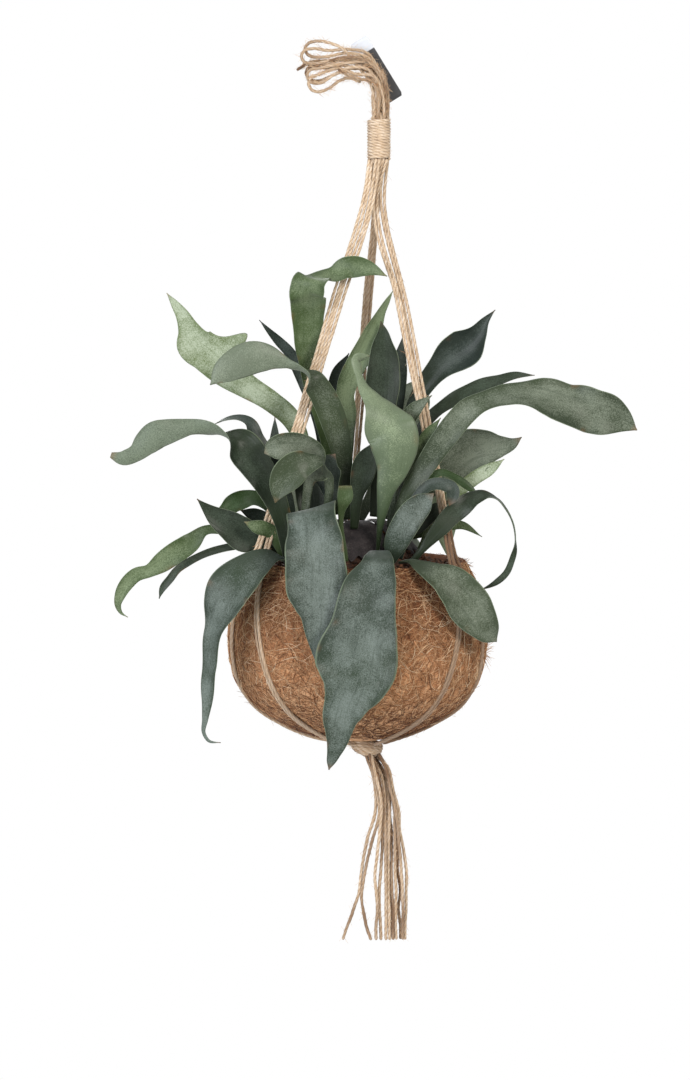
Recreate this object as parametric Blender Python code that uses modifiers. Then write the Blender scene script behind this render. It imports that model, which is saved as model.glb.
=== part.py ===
"""Staghorn fern planted in a coir ball that hangs in a jute twine hanger.

The origin is the middle of the whipping that gathers the hanger's cords, the place where the
object is held, with +Z up and -Y towards the plant's best side. Lengths in the tables below are
millimetres, and `MM` turns them into Blender's metres when a mesh or a curve is made.
"""

from dataclasses import dataclass
import math

import bpy
import bmesh
import numpy as np

MM = 0.001

# Coir basket: a squat ball of felted husk fibre, open at the top.
BALL_X = -17.0
BALL_OUTLINE = (
    (87, -340), (95, -355.5), (101, -370), (104, -390), (104, -406.5), (101.5, -424.5),
    (95.5, -441), (85, -454), (72, -463.5), (57, -472.5), (42.5, -478.5), (24.5, -483.5), (0, -485.5),
)
BALL_TURN_STEPS = 36
COIR_THICKNESS = 9.0
CLEARANCE = 0.8

# Growing medium: nearly level at the rim, with the fern's old root clump as a hump in the middle.
MEDIUM_LEVEL = -343.0
MEDIUM_RADIUS = 72.0
HUMP_HEIGHT = 34.0
HUMP_RADIUS = 46.0

# Shield fronds lie over the hump, and the foliage fronds start just above them.
SHIELD_LIFT = 2.2
SHIELD_THICKNESS = 1.4
ROOT_LIFT = 7.0

FROND_THICKNESS = 1.3
FROND_STATION = 13.0
TIP_WIDTH = 1.6

# Hanger: twelve strands in six pairs, whipped together at the neck and knotted under the ball.
STRAND_DIAMETER = 2.6
PAIR_DIAMETER = 5.2
CORD_STATION = 2.8
CORD_POINTS = 78
CORD_ROUNDING = 2
NECK_RADIUS = 9.5
NECK_HEIGHT = 28.0
PAIR_RING = 6.4
KNOT_CENTRE = (-12.0, 0.0, -492.5)
KNOT_RADII = (14.5, 12.0, 6.2)
KNOT_GAP = 3.2
TAIL_DIAMETER = 4.8
LABEL_SIZE = (16.0, 0.7, 56.0)
LABEL_CENTRE = (-2.0, 12.5, 52.0)
LABEL_TURN = -31.5

DIRECTIONS = {
    "F": (0, -1, 0), "B": (0, 1, 0), "L": (-1, 0, 0), "R": (1, 0, 0), "U": (0, 0, 1), "D": (0, 0, -1),
}

GREY_GREEN = (0.115, 0.162, 0.106)
BLUE_GREY = (0.106, 0.144, 0.124)
SAGE = (0.262, 0.337, 0.221)
MID_GREEN = (0.093, 0.141, 0.065)
BRIGHT_GREEN = (0.052, 0.096, 0.026)
LIGHT_GREEN = (0.150, 0.205, 0.090)
DARK_GREEN = (0.028, 0.044, 0.021)
SLATE = (0.050, 0.066, 0.048)
SHIELD_BROWN = (0.040, 0.028, 0.028)
COIR_BROWN = (0.342, 0.181, 0.092)
PEAT_BROWN = (0.070, 0.034, 0.018)
JUTE = (0.445, 0.319, 0.202)
CARD_WHITE = (0.850, 0.850, 0.840)


@dataclass(frozen=True)
class Frond:
    """One foliage frond.

    facing: the way the frond's upper side looks, in steps from its root to its tip.
    root: where it leaves the clump (x, y) and its width there.
    path: the midline's other points (x, y, z), each with the blade's width.
    cup: how far the rims stand above the middle, as a share of the width.
    """

    name: str
    colour: tuple
    facing: str
    root: tuple
    path: tuple
    cup: float = 0.10


FRONDS = (
    Frond("upright_left_frond", MID_GREEN, "F F F F F F F F F F F F F FU U UF F F F", (-33, 8, 6.5), (
        (-38.5, 4, -258, 9), (-46.5, 0, -225.5, 9.5), (-54, -4, -197, 10.5), (-57, -9, -180, 13),
        (-57.5, -12, -160.5, 20), (-56.5, -18, -145, 24), (-56, -31, -129.5, 27),
        (-56, -43, -117, 30.5), (-53.5, -42, -111.5, 29.5), (-45.5, -32, -110, 22.5),
        (-35, -28, -108, 16), (-27, -28, -103, 17.5), (-18.5, -29, -101.5, 17),
        (-7, -30, -103, 11), (6.5, -31, -109, 0),
    )),
    Frond("sage_left_frond", SAGE, "F F F", (-49, 18, 7.5), (
        (-59.5, 14, -250.5, 11.5), (-71, 11, -224.5, 16), (-86, 8, -211.5, 17),
        (-105.5, 5, -199, 20), (-124, 1, -185.5, 26), (-137.5, -1, -172.5, 30),
        (-149, -2, -162.5, 30), (-153.5, -3, -151.5, 17.5), (-158.5, -4, -140, 10.5),
        (-164, -5, -132, 6.5), (-170.5, -6, -123, 0),
    ), cup=0.07),
    Frond("arching_left_frond", GREY_GREEN, "F F F F F F U B B B B", (-26.5, -22, 8), (
        (-28, -30, -260, 13), (-32, -38, -238, 19), (-37.5, -44, -218.5, 21.5),
        (-45.5, -50, -201.5, 20), (-54, -57, -189, 16.5), (-60.5, -60, -183, 11),
        (-67, -61, -180, 5.5), (-75.5, -62, -177.5, 8.5), (-86.5, -64, -173, 20),
        (-98.5, -66, -172, 25.5), (-113.5, -68, -177.5, 24), (-125.5, -69, -185.5, 16),
        (-134, -70, -194, 0),
    ), cup=0.08),
    Frond("slender_left_frond", SLATE, "F F F", (-40, 36, 5.5), (
        (-52.5, 27, -219, 7.5), (-63.5, 24, -188, 11.5), (-72.5, 20, -171.5, 9),
        (-81.5, 19, -162, 7.5), (-89.5, 17, -153.5, 4), (-96.5, 16, -145.5, 0),
    )),
    Frond("long_left_frond", DARK_GREEN, "F F F F F U B B B B", (-71, -44, 9.5), (
        (-78, -54, -298.5, 16), (-85.5, -60, -279.5, 20.5), (-95.5, -64, -261, 25.5),
        (-106.5, -67, -245.5, 28), (-117.5, -69, -236, 25.5), (-128.5, -70, -231.5, 19),
        (-139, -71, -228, 13.5), (-148.5, -72, -227, 12.5), (-158, -73, -228.5, 16),
        (-168, -74, -231, 20.5), (-177.5, -75, -234, 23), (-184.5, -76, -239.5, 20.5),
        (-192.5, -77, -247.5, 13.5), (-203.5, -78, -251.5, 11), (-212.5, -78, -249, 4.5),
    )),
    Frond("low_grey_left_frond", SLATE, "F F FU U", (-65.5, -34, 6.5), (
        (-76, -48, -275, 9), (-87, -53, -254.5, 12), (-97, -54, -237, 12.5), (-105, -54, -224, 12),
        (-114, -54, -221, 10.5), (-122, -55, -222, 9), (-130.5, -56, -225.5, 0),
    )),
    Frond("cupped_left_frond", GREY_GREEN, "FU FU F F", (-61.5, -44, 6.5), (
        (-55, -55, -269, 9), (-50, -62, -251, 14.5), (-59, -74, -243.5, 20.5),
        (-70, -80, -242, 22), (-79.5, -83, -242.5, 20), (-86.5, -82, -245, 13.5),
        (-91, -81, -247.5, 0),
    ), cup=0.16),
    Frond("folded_left_frond", GREY_GREEN, "B B BU U FU F F F", (-46.5, -44, 6.5), (
        (-41.5, -64, -263.5, 8.5), (-46, -74, -253.5, 10.5), (-55.5, -82, -254.5, 17.5),
        (-64.5, -86, -257.5, 24.5), (-72, -87, -264.5, 26), (-78.5, -86, -274, 19),
        (-82.5, -85, -286.5, 0),
    )),
    Frond("broad_dark_frond", DARK_GREEN, "F F", (-55.5, -30, 9.5), (
        (-53.5, -30, -288, 25.5), (-55.5, -27, -272.5, 25.5), (-65, -20, -250, 0),
    )),
    Frond("stubby_slate_frond", SLATE, "F F F", (-37, -44, 6.5), (
        (-38.5, -46, -287, 9), (-40, -48, -275.5, 16), (-41.5, -50, -266, 22.5),
        (-40.5, -52, -258, 20.5), (-35, -54, -249.5, 0),
    ), cup=0.12),
    Frond("centre_dark_frond", DARK_GREEN, "F F F", (-20, -34, 6.5), (
        (-17.5, -38, -283.5, 11), (-13.5, -42, -267.5, 19), (-9.5, -46, -253.5, 17.5),
        (-4, -48, -240.5, 0),
    ), cup=0.12),
    Frond("young_centre_frond", MID_GREEN, "F F F", (-27, -62, 5), (
        (-29.5, -66, -292, 7), (-27, -68, -282.5, 12.5), (-27, -69, -274, 10.5),
    )),
    Frond("bright_left_frond", BRIGHT_GREEN, "U FU FU F", (-75.5, -20, 8), (
        (-89, -24, -292.5, 16), (-102, -28, -286.5, 17.5), (-113.5, -31, -289.5, 17),
        (-123.5, -34, -295, 11), (-130.5, -36, -296.5, 0),
    ), cup=0.12),
    Frond("dark_left_frond", DARK_GREEN, "FU F F F", (-76, -30, 8), (
        (-93.5, -33, -321, 17.5), (-107.5, -35, -316, 27), (-120, -37, -307.5, 24),
        (-130.5, -38, -300.5, 16), (-139, -39, -293, 7), (-145.5, -40, -286.5, 0),
    )),
    Frond("teal_left_frond", SLATE, "FU F", (-66.5, -4, 6.5), (
        (-91, -10, -305, 11.5), (-103, -12, -300.5, 9.5), (-111.5, -14, -297.5, 0),
    )),
    Frond("hooked_left_frond", MID_GREEN, "FU FU F F F", (-78, -14, 6.5), (
        (-107.5, -14, -316.5, 9.5), (-126, -15, -313.5, 9), (-140, -16, -314, 9),
        (-151, -18, -323, 15.5), (-163, -20, -331, 17.5), (-175, -21, -339.5, 16),
        (-185.5, -22, -346, 10.5), (-194.5, -23, -348.5, 11.5), (-202.5, -24, -355.5, 11.5),
        (-208, -26, -365, 9), (-209.5, -28, -373.5, 5), (-207, -29, -379, 2.5),
        (-201.5, -30, -382.5, 0),
    )),
    Frond("thin_left_frond", DARK_GREEN, "FU FU F", (-79.5, -24, 5), (
        (-103.5, -26, -324.5, 7), (-118.5, -28, -326, 8), (-131.5, -31, -329, 8),
        (-143.5, -35, -333, 7), (-153.5, -38, -338, 7), (-161.5, -41, -343.5, 6.5),
        (-167, -42, -350.5, 6.5), (-173, -42, -358, 5.5), (-176, -42, -366.5, 0),
    ), cup=0.14),
    Frond("drooping_left_frond", BLUE_GREY, "U UF UF FL FL F F", (-71, -56, 11), (
        (-85, -66, -330, 19), (-98, -74, -336, 28.5), (-109.5, -80, -344, 35.5),
        (-119, -83, -356, 39), (-126, -84, -370, 33.5), (-130, -83, -385.5, 22),
        (-133.5, -82, -401.5, 19), (-135, -80, -417.5, 16.5), (-136, -79, -432.5, 13.5),
        (-137, -78, -447, 8.5), (-138.5, -77, -460, 5), (-139.5, -76, -470.5, 3),
        (-135.5, -75.5, -477, 2.5), (-126, -75, -478.5, 0),
    ), cup=0.06),
    Frond("front_left_frond", BLUE_GREY, "B BBU UUUUL UUFL F F F F F", (-48.5, -57, 16), (
        (-52, -65, -299, 35), (-53.5, -79, -291, 39.5), (-53, -92, -295, 40.5),
        (-52.5, -99, -305.5, 44), (-51.5, -103, -318.5, 47), (-50.5, -106, -331.5, 48),
        (-50, -107, -344, 49), (-51, -108, -354.5, 45), (-50, -108.5, -364, 36),
        (-49, -109, -373.5, 27.5), (-50, -109, -385, 19), (-50, -108.5, -398.5, 10),
        (-49.5, -108, -413, 0),
    ), cup=0.06),
    Frond("front_centre_frond", BLUE_GREY, "U U UF F F F F F", (-1.5, -60, 6.5), (
        (0, -74, -326.5, 14.5), (-0.5, -92, -328, 20.5), (-2, -106, -333.5, 27),
        (-5, -113, -343, 37), (-8.5, -118, -356, 43), (-11.5, -121, -371.5, 48),
        (-14.5, -122, -388.5, 56.5), (-17, -122, -404.5, 63.5), (-18.5, -121.5, -417, 62),
        (-21.5, -121, -429, 53.5), (-26.5, -119, -441, 37.5), (-30.5, -117, -452.5, 30),
        (-32, -114, -464, 22), (-33.5, -111, -473.5, 16.5), (-36, -107, -483, 11),
        (-38.5, -104, -491, 6.5), (-40, -102, -497, 0),
    ), cup=0.06),
    Frond("front_right_frond", GREY_GREEN, "U UF F F", (16.5, -60, 4), (
        (25, -71, -334, 6.5), (34, -81, -337.5, 16), (43, -86, -342, 21.5),
        (53.5, -88, -348, 28.5), (63, -89, -357, 33), (70, -88, -366.5, 35),
        (76.5, -84, -376.5, 31.5), (83, -79, -385.5, 24.5), (89, -73, -393.5, 14.5),
        (93.5, -68, -398.5, 0),
    ), cup=0.08),
    Frond("hooked_right_frond", DARK_GREEN, "F F F F FU RU RU RU F F F", (26, -54, 5), (
        (33.5, -56, -327, 5.5), (40.5, -57, -318, 9.5), (48.5, -58, -308.5, 13.5),
        (57, -57, -299, 16), (67, -56, -291, 16.5), (76.5, -55, -285, 15), (86, -54, -282.5, 13.5),
        (94.5, -54, -285.5, 12.5), (101, -54, -293.5, 9.5), (106, -54, -303, 7),
        (108.5, -54, -313.5, 6.5), (108.5, -54, -324, 5), (106, -53, -334.5, 5),
        (101.5, -52, -345, 5.5), (94, -52, -352, 5), (87, -52, -356, 2.5), (80.5, -52, -358.5, 0),
    ), cup=0.08),
    Frond("thin_right_frond", BRIGHT_GREEN, "FU FU", (18.5, -40, 5), (
        (28.5, -50, -284.5, 6.5), (39, -52, -270.5, 7), (49.5, -51, -265, 8),
        (59.5, -49, -268.5, 8), (69.5, -48, -275.5, 8), (80.5, -48, -284.5, 0),
    ), cup=0.12),
    Frond("grey_curl_right_frond", SLATE, "FU FU F", (16.5, -50, 5), (
        (30, -60, -284.5, 9.5), (40.5, -63, -274.5, 11), (50.5, -65, -273.5, 11),
        (58, -65, -277.5, 11), (58, -64, -284, 9.5), (55.5, -63, -290.5, 0),
    ), cup=0.2),
    Frond("great_right_frond", GREY_GREEN, "FL FL F F FU FU F F", (5, -44, 6.5), (
        (16, -50, -296.5, 11), (26, -53, -276, 14.5), (36.5, -56, -259, 16.5),
        (48.5, -59, -240.5, 19), (60, -61, -225.5, 20), (73, -63, -212.5, 19),
        (88.5, -63, -205.5, 19), (105.5, -62, -201.5, 24), (120.5, -60, -202.5, 30),
        (135.5, -58, -205.5, 38), (151.5, -56, -211.5, 37.5), (167.5, -54, -214.5, 36.5),
        (182, -53, -218.5, 32.5), (193.5, -51.5, -223.5, 20.5), (205.5, -50, -231, 0),
    ), cup=0.08),
    Frond("dark_back_right_frond", DARK_GREEN, "FU FU", (15.5, -4, 6.5), (
        (28.5, -8, -241.5, 9.5), (44.5, -14, -220, 12), (62, -19, -207.5, 14.5),
        (78.5, -23, -198.5, 15), (95.5, -26, -193, 12), (109.5, -29, -188.5, 8),
        (124.5, -32, -188, 0),
    )),
    Frond("broad_right_frond", GREY_GREEN, "FU F F F", (17, -12, 6.5), (
        (30.5, -14, -291, 13), (44.5, -16, -273, 24), (58, -18, -261.5, 35.5),
        (73, -20, -251, 38.5), (87.5, -22, -246, 29), (98, -23, -245, 17.5), (107, -23, -243, 9.5),
        (114.5, -24, -238, 0),
    )),
    Frond("two_tone_right_frond", SLATE, "FL F F F", (11, 10, 7.5), (
        (20.5, 8, -242, 11.5), (28.5, 4, -213.5, 12), (38, 1, -196.5, 15.5),
        (49.5, -2, -182.5, 20), (61.5, -4, -171.5, 30.5), (71, -5, -165, 30.5), (79, -6, -156, 17),
        (85.5, -7, -145.5, 7), (93.5, -8, -136.5, 0),
    ), cup=0.3),
    Frond("pale_centre_frond", LIGHT_GREEN, "B B B B B BL BL BU", (-1, -48, 3), (
        (0.5, -53, -310.5, 5), (3, -58, -292.5, 9.5), (6, -61, -276.5, 15),
        (11, -63, -260.5, 24.5), (14, -64, -246, 32), (14, -64, -235, 35.5),
        (10, -63, -225.5, 33.5), (4.5, -61, -215, 25.5), (-2, -59, -205.5, 14.5),
        (-8, -56, -197, 9.5), (-13.5, -53, -187.5, 7), (-17, -51, -180, 8),
        (-17.5, -49, -174.5, 9.5), (-13, -46, -172, 8), (-6.5, -44, -172, 1),
    ), cup=0.08),
    Frond("dark_centre_frond", DARK_GREEN, "F F F", (-4, -14, 7), (
        (1, -16, -257, 14.5), (2.5, -18, -228.5, 19.5), (2.5, -19, -208.5, 25),
        (3.5, -20, -192.5, 28), (4, -21, -178, 25), (3, -22, -164, 17), (3, -23, -154, 9),
        (1.5, -24, -145, 0),
    ), cup=0.14),
    Frond("light_centre_frond", MID_GREEN, "F F FR", (-21.5, -10, 5.5), (
        (-26.5, -10, -265.5, 9.5), (-27, -12, -234, 9.5), (-29, -13, -213.5, 10.5),
        (-28, -14, -197.5, 13), (-23, -15, -179.5, 14.5), (-14.5, -17, -164.5, 17.5),
        (-6.5, -19, -150.5, 14.5), (1, -21, -138.5, 9.5), (7, -23, -128, 5), (11, -24, -121, 0),
    ), cup=0.16),
    Frond("right_back_frond", SLATE, "F F", (7.5, 20, 5.5), (
        (11, 16, -242.5, 9), (14, 14, -207, 14.5), (16.5, 12, -183.5, 13.5), (19.5, 10, -158, 0),
    )),
    Frond("short_right_frond", GREY_GREEN, "F F", (9, -24, 5.5), (
        (13.5, -30, -264, 9), (18.5, -40, -231.5, 11), (28, -48, -215, 12), (42, -52, -203, 0),
    )),
    Frond("teal_right_frond", BLUE_GREY, "F F F", (9.5, -62, 6.5), (
        (12.5, -67, -322, 17.5), (19, -70, -307, 22), (27, -70, -295, 21.5), (35.5, -69, -287, 16),
        (43.5, -69, -280, 0),
    ), cup=0.08),
    Frond("dark_teal_right_frond", DARK_GREEN, "F F", (13.5, -28, 6.5), (
        (26.5, -28, -312.5, 11), (39.5, -27, -301, 13.5), (49, -26, -294, 9.5),
        (57, -26, -288.5, 0),
    )),
)

# Guessed fronds of the far side, which droop and stand as the near ones do.
BACK_FRONDS = (
    Frond("back_left_frond", GREY_GREEN, "RB UB UB B", (-52, 24, 8), (
        (-58, 46, -290, 16), (-66, 70, -268, 30), (-72, 94, -278, 36), (-76, 110, -310, 26),
        (-78, 116, -346, 0),
    )),
    Frond("back_drooping_frond", BLUE_GREY, "U U B B", (0, 40, 10), (
        (6, 66, -318, 22), (14, 96, -328, 36), (18, 115, -362, 48), (20, 120, -402, 44),
        (18, 112, -444, 24), (14, 104, -474, 0),
    ), cup=0.08),
    Frond("back_right_frond", MID_GREEN, "LB UB UB B", (12, 26, 8), (
        (22, 48, -290, 16), (34, 72, -266, 32), (46, 96, -276, 38), (54, 110, -310, 28),
        (58, 116, -346, 0),
    )),
    Frond("back_leaning_frond", GREY_GREEN, "F F UF", (-16, 32, 8), (
        (2, 52, -276, 14), (16, 70, -240, 28), (26, 88, -212, 34), (32, 108, -198, 0),
    )),
)



@dataclass(frozen=True)
class Leg:
    """One leg of the hanger, two pairs of strands side by side.

    below: where it hangs free under the neck. shoulder: where it reaches the ball.
    apart, foot_apart: from the leg's middle to its second pair, up under the neck and down at
    the shoulder.
    neck_turns, sling_turns: each pair's compass turn in the whipping, and round the ball where its
    sling leaves the shoulder and where it nears the knot.
    """

    name: str
    below: tuple
    shoulder: tuple
    apart: tuple
    foot_apart: tuple
    neck_turns: tuple
    sling_turns: tuple


LEGS = (
    Leg("left", (-7.5, -5, -42), (-97, -48, -339), (2.8, 0), (2.8, 0), (200, 260),
        ((199, 191), (217, 236))),
    Leg("right", (0.5, 2, -42), (59.5, -51.5, -336), (2.6, 1.6), (1, 3.2), (320, 20),
        ((323, 306), (338, 350))),
    Leg("back", (-2, 10, -42), (-25, 92, -335), (1.2, 2.6), (1.6, 2.4), (140, 80),
        ((102, 125), (84, 62))),
)
# Along a leg: the share of its length, how far its pairs spread, and how far they have turned.
LEG_STEPS = ((0.0, 1.0, 0.0), (0.3, 1.0, 0.0), (0.6, 1.0, 0.5), (0.88, 1.1, 1.0), (1.0, 1.6, 1.0))
SLING_HEIGHTS = (-363.5, -386, -410.5, -432.5, -453, -469.5, -478.5)

# Cords that hang under the knot, and loops and ends that stand over the whipping.
TAILS = (
    ("tassel_tail_left", (
        (-6.5, -3, -506), (-2.5, -4, -528.5), (-4.5, -5, -544.5), (-12, -6, -571), (-17, -6, -602),
        (-22, -5, -622.5), (-28, -4, -648),
    )),
    ("tassel_tail_near", (
        (-10.5, -7, -504.5), (-0.5, -10, -527), (0.5, -11, -554.5), (-2.5, -12, -595), (-3.5, -11, -622),
        (-2.5, -10, -647.5),
    )),
    ("tassel_tail_middle", (
        (-10, 4, -508.5), (3.5, 3, -526.5), (8.5, 2, -555), (8.5, 1, -596), (9.5, 0, -648.5),
    )),
    ("tassel_tail_right", (
        (-3.5, 3, -506), (10.5, 3, -522.5), (16.5, 3, -550), (18.5, 3, -586), (20, 3, -648.5),
    )),
)
LOOPS = (
    ("top_loop", (
        (-4, 2, 16.5), (-5, 2, 37.5), (-1, 2, 53.5), (-8, 1, 65), (-24, 0, 69), (-42, -1, 67),
        (-55, -2, 68), (-53, -3, 75), (-44, -4, 77.5), (-30, -4, 73.5), (-18, -4, 60.5), (-7, -5, 44.5),
        (-4, -5, 30.5), (-4, -6, 15.5),
    )),
    ("lower_loop", (
        (4, -4, 16), (3, -6, 36.5), (-4, -9, 50.5), (-18, -10, 52), (-34, -9, 56.5),
        (-50, -8, 50.5), (-56, -7, 44.5), (-50, -6, 38.5), (-41, -6, 40), (-32, -6, 47),
        (-22, -6, 49), (-14.5, -6, 45.5),
    )),
    ("cord_ends", (
        (4, 4, 16.5), (5, 5, 35.5), (1, 7, 50), (-8, 8, 59), (-22, 8, 63), (-40, 7, 63), (-56, 6, 61.5),
        (-66, 5, 55.5),
    )),
)

# Each shield frond's compass turns, its reach from the ball's middle and its bulge.
SHIELDS = (
    ("shield_frond_near", (236, 306), 55.0, 2.0),
    ("shield_frond_left", (128, 232), 52.0, 1.0),
    ("shield_frond_right", (310, 404), 52.0, 1.0),
)


def unit(vectors):
    """Vectors at length one, along the last axis."""
    return vectors / np.linalg.norm(vectors, axis=-1, keepdims=True)


def smooth_path(points, count):
    """Reads `count` evenly spaced rows from a smooth curve through every given row.

    The curve is a cubic between neighbours, whose slope at each point is the mean of the slopes
    on both sides, weighted by distance. Columns past x, y, z are carried along with them.
    """
    rows = np.array(points, dtype=float)
    steps = np.linalg.norm(np.diff(rows[:, :3], axis=0), axis=1)
    knots = np.concatenate(([0.0], np.cumsum(steps)))
    slopes = np.gradient(rows, knots, axis=0)
    along = np.linspace(0.0, knots[-1], count)
    span = np.clip(np.searchsorted(knots, along, side="right") - 1, 0, len(steps) - 1)
    width = steps[span][:, None]
    t = ((along - knots[span]) / steps[span])[:, None]
    start, end = rows[span], rows[span + 1]
    return (
        (2 * t**3 - 3 * t**2 + 1) * start
        + (t**3 - 2 * t**2 + t) * width * slopes[span]
        + (3 * t**2 - 2 * t**3) * end
        + (t**3 - t**2) * width * slopes[span + 1]
    )


def ball_radius(z):
    """Outer radius of the coir ball at a height."""
    heights = [-row[1] for row in BALL_OUTLINE]
    return np.interp(-z, heights, [row[0] for row in BALL_OUTLINE])


def on_ball(turn, z, lift):
    """A point on the ball at a compass turn in degrees (0 is +X, 270 the near side)."""
    radius = ball_radius(z)
    lower, upper = ball_radius(z - 4), ball_radius(z + 4)
    lean = math.atan2(upper - lower, 8)
    reach = radius + lift * math.cos(lean)
    angle = math.radians(turn)
    return (
        BALL_X + reach * math.cos(angle), reach * math.sin(angle), float(z - lift * math.sin(lean)),
    )


def hump(x, y):
    """Height of the growing medium, which swells in the middle over the old root clump."""
    out = np.hypot(x - BALL_X, y)
    return MEDIUM_LEVEL + HUMP_HEIGHT * np.exp(-((out / HUMP_RADIUS) ** 4))


def material(name, colour, roughness=0.7):
    """A plain Principled finish."""
    finish = bpy.data.materials.new(name)
    finish.use_nodes = True
    shader = finish.node_tree.nodes["Principled BSDF"]
    shader.inputs["Base Color"].default_value = (*colour, 1.0)
    shader.inputs["Roughness"].default_value = roughness
    shader.inputs["Metallic"].default_value = 0.0
    finish.diffuse_color = (*colour, 1.0)
    return finish


def add_mesh(parts, name, mesh, finish):
    """An object for a mesh, in the part's collection."""
    piece = bpy.data.objects.new(name, mesh)
    mesh.materials.append(finish)
    mesh.shade_smooth()
    parts.objects.link(piece)
    return piece


def sheet(parts, name, rows, columns, place, thickness, finish, offset=0.0):
    """A closed leaf: a grid whose points `place(across, along)` sets, made solid."""
    build = bmesh.new()
    bmesh.ops.create_grid(build, x_segments=columns, y_segments=rows, size=0.5)
    build.verts.ensure_lookup_table()
    flat = np.array([vertex.co[:2] for vertex in build.verts])
    for vertex, point in zip(build.verts, place(flat[:, 0] * 2, flat[:, 1] + 0.5)):
        vertex.co = point * MM
    mesh = bpy.data.meshes.new(name)
    build.to_mesh(mesh)
    build.free()
    piece = add_mesh(parts, name, mesh, finish)
    solid = piece.modifiers.new("Thickness", "SOLIDIFY")
    solid.thickness = thickness * MM
    solid.offset = offset
    return piece


def add_frond(parts, frond):
    """A foliage frond: a ribbon about its midline, cupped across and pointed at the tip."""
    x, y, width = frond.root
    sides = (x - width / 2, x, x + width / 2)
    height = max(float(hump(across, y)) for across in sides) + ROOT_LIFT
    path = ((x, y, height, width), *frond.path)
    length = np.linalg.norm(np.diff(np.array(path)[:, :3], axis=0), axis=1).sum()
    rows = int(np.clip(round(length / FROND_STATION), 7, 20))
    line = smooth_path(path, rows + 1)
    middle, widths = line[:, :3], np.maximum(line[:, 3], TIP_WIDTH)
    forward = unit(np.gradient(middle, axis=0))
    looks = np.array([
        np.sum([DIRECTIONS[letter] for letter in word], axis=0) for word in frond.facing.split()
    ], dtype=float)
    steps = np.linspace(0, len(looks) - 1, rows + 1)
    up = np.stack([np.interp(steps, range(len(looks)), looks[:, axis]) for axis in range(3)], 1)
    up = unit(up - forward * np.sum(up * forward, axis=1, keepdims=True))
    side = np.cross(up, forward)

    def place(across, along):
        row = np.rint(along * rows).astype(int)
        half = widths[row] / 2
        return (
            middle[row]
            + side[row] * (across * half)[:, None]
            + up[row] * (2 * frond.cup * half * (across**2 - 0.4))[:, None]
        )

    finish = material(frond.name, frond.colour)
    return sheet(parts, frond.name, rows, 2, place, FROND_THICKNESS, finish)


def add_shield(parts, name, turns, reach, bulge):
    """A shield frond: a patch clasping the hump between two compass turns, with a lobed edge."""
    first, last = turns
    inner = 9.0

    def place(across, along):
        angle = np.radians(first + (last - first) * (across + 1) / 2)
        lobes = 1 - 0.10 * np.cos(3 * math.pi * across) ** 2 - 0.12 * across**2
        out = inner + (reach * lobes - inner) * along
        x, y = BALL_X + out * np.cos(angle), out * np.sin(angle)
        swell = bulge * (1 - across**2) * np.sin(math.pi * along)
        lean = unit(np.stack([np.cos(angle), np.sin(angle), np.full_like(angle, 0.8)], axis=1))
        return np.stack([x, y, hump(x, y) + SHIELD_LIFT], axis=1) + lean * swell[:, None]

    finish = material(name, SHIELD_BROWN)
    return sheet(parts, name, 7, 8, place, SHIELD_THICKNESS, finish, offset=-1.0)


def turned(parts, name, profile, finish):
    """A turned shape about the ball's own upright axis, from (radius, height) rows."""
    mesh = bpy.data.meshes.new(name)
    points = [(radius * MM, 0.0, height * MM) for radius, height in profile]
    mesh.from_pydata(points, [(i, i + 1) for i in range(len(points) - 1)], [])
    piece = add_mesh(parts, name, mesh, finish)
    piece.location.x = BALL_X * MM
    screw = piece.modifiers.new("Turn", "SCREW")
    screw.steps = BALL_TURN_STEPS
    screw.render_steps = BALL_TURN_STEPS
    screw.use_merge_vertices = True
    screw.merge_threshold = 0.0001
    return piece


def add_basket(parts):
    """The coir ball: the outline turned, with its wall inside it."""
    piece = turned(parts, "coir_ball", BALL_OUTLINE, material("coir_ball", COIR_BROWN, 0.95))
    wall = piece.modifiers.new("Wall", "SOLIDIFY")
    wall.thickness = COIR_THICKNESS * MM
    wall.offset = -1.0
    return piece


def add_medium(parts):
    """The growing medium: it fills the ball, clear of the wall, and swells into the hump."""
    inset = COIR_THICKNESS + CLEARANCE
    rows = np.array(BALL_OUTLINE, dtype=float)
    along = unit(np.gradient(rows, axis=0))
    inner = rows + np.stack([along[:, 1], -along[:, 0]], axis=1) * inset
    below = [tuple(row) for row in inner[1:-1] if row[1] < MEDIUM_LEVEL - 6]
    top = [(out, float(hump(BALL_X + out, 0.0))) for out in (0, 12, 22, 29, 35, 41, 47, 53, 60)]
    profile = [*top, (MEDIUM_RADIUS, MEDIUM_LEVEL - 1), *below, (0.0, inner[-1][1])]
    return turned(parts, "growing_medium", profile, material("growing_medium", PEAT_BROWN, 0.95))


def add_cord(parts, name, points, diameter, finish):
    """A cord: a tube along a smooth curve through hand-set points."""
    length = np.linalg.norm(np.diff(np.array(points, dtype=float), axis=0), axis=1).sum()
    count = round(length / (CORD_STATION * diameter)) + 1
    line = smooth_path(points, min(max(4, count), CORD_POINTS))
    curve = bpy.data.curves.new(name, "CURVE")
    curve.dimensions = "3D"
    spline = curve.splines.new("POLY")
    spline.points.add(len(line) - 1)
    for knot, point in zip(spline.points, line):
        knot.co = (*(point * MM), 1.0)
    curve.bevel_depth = diameter / 2 * MM
    curve.bevel_resolution = CORD_ROUNDING
    curve.use_fill_caps = True
    curve.materials.append(finish)
    piece = bpy.data.objects.new(name, curve)
    parts.objects.link(piece)
    return piece


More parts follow.
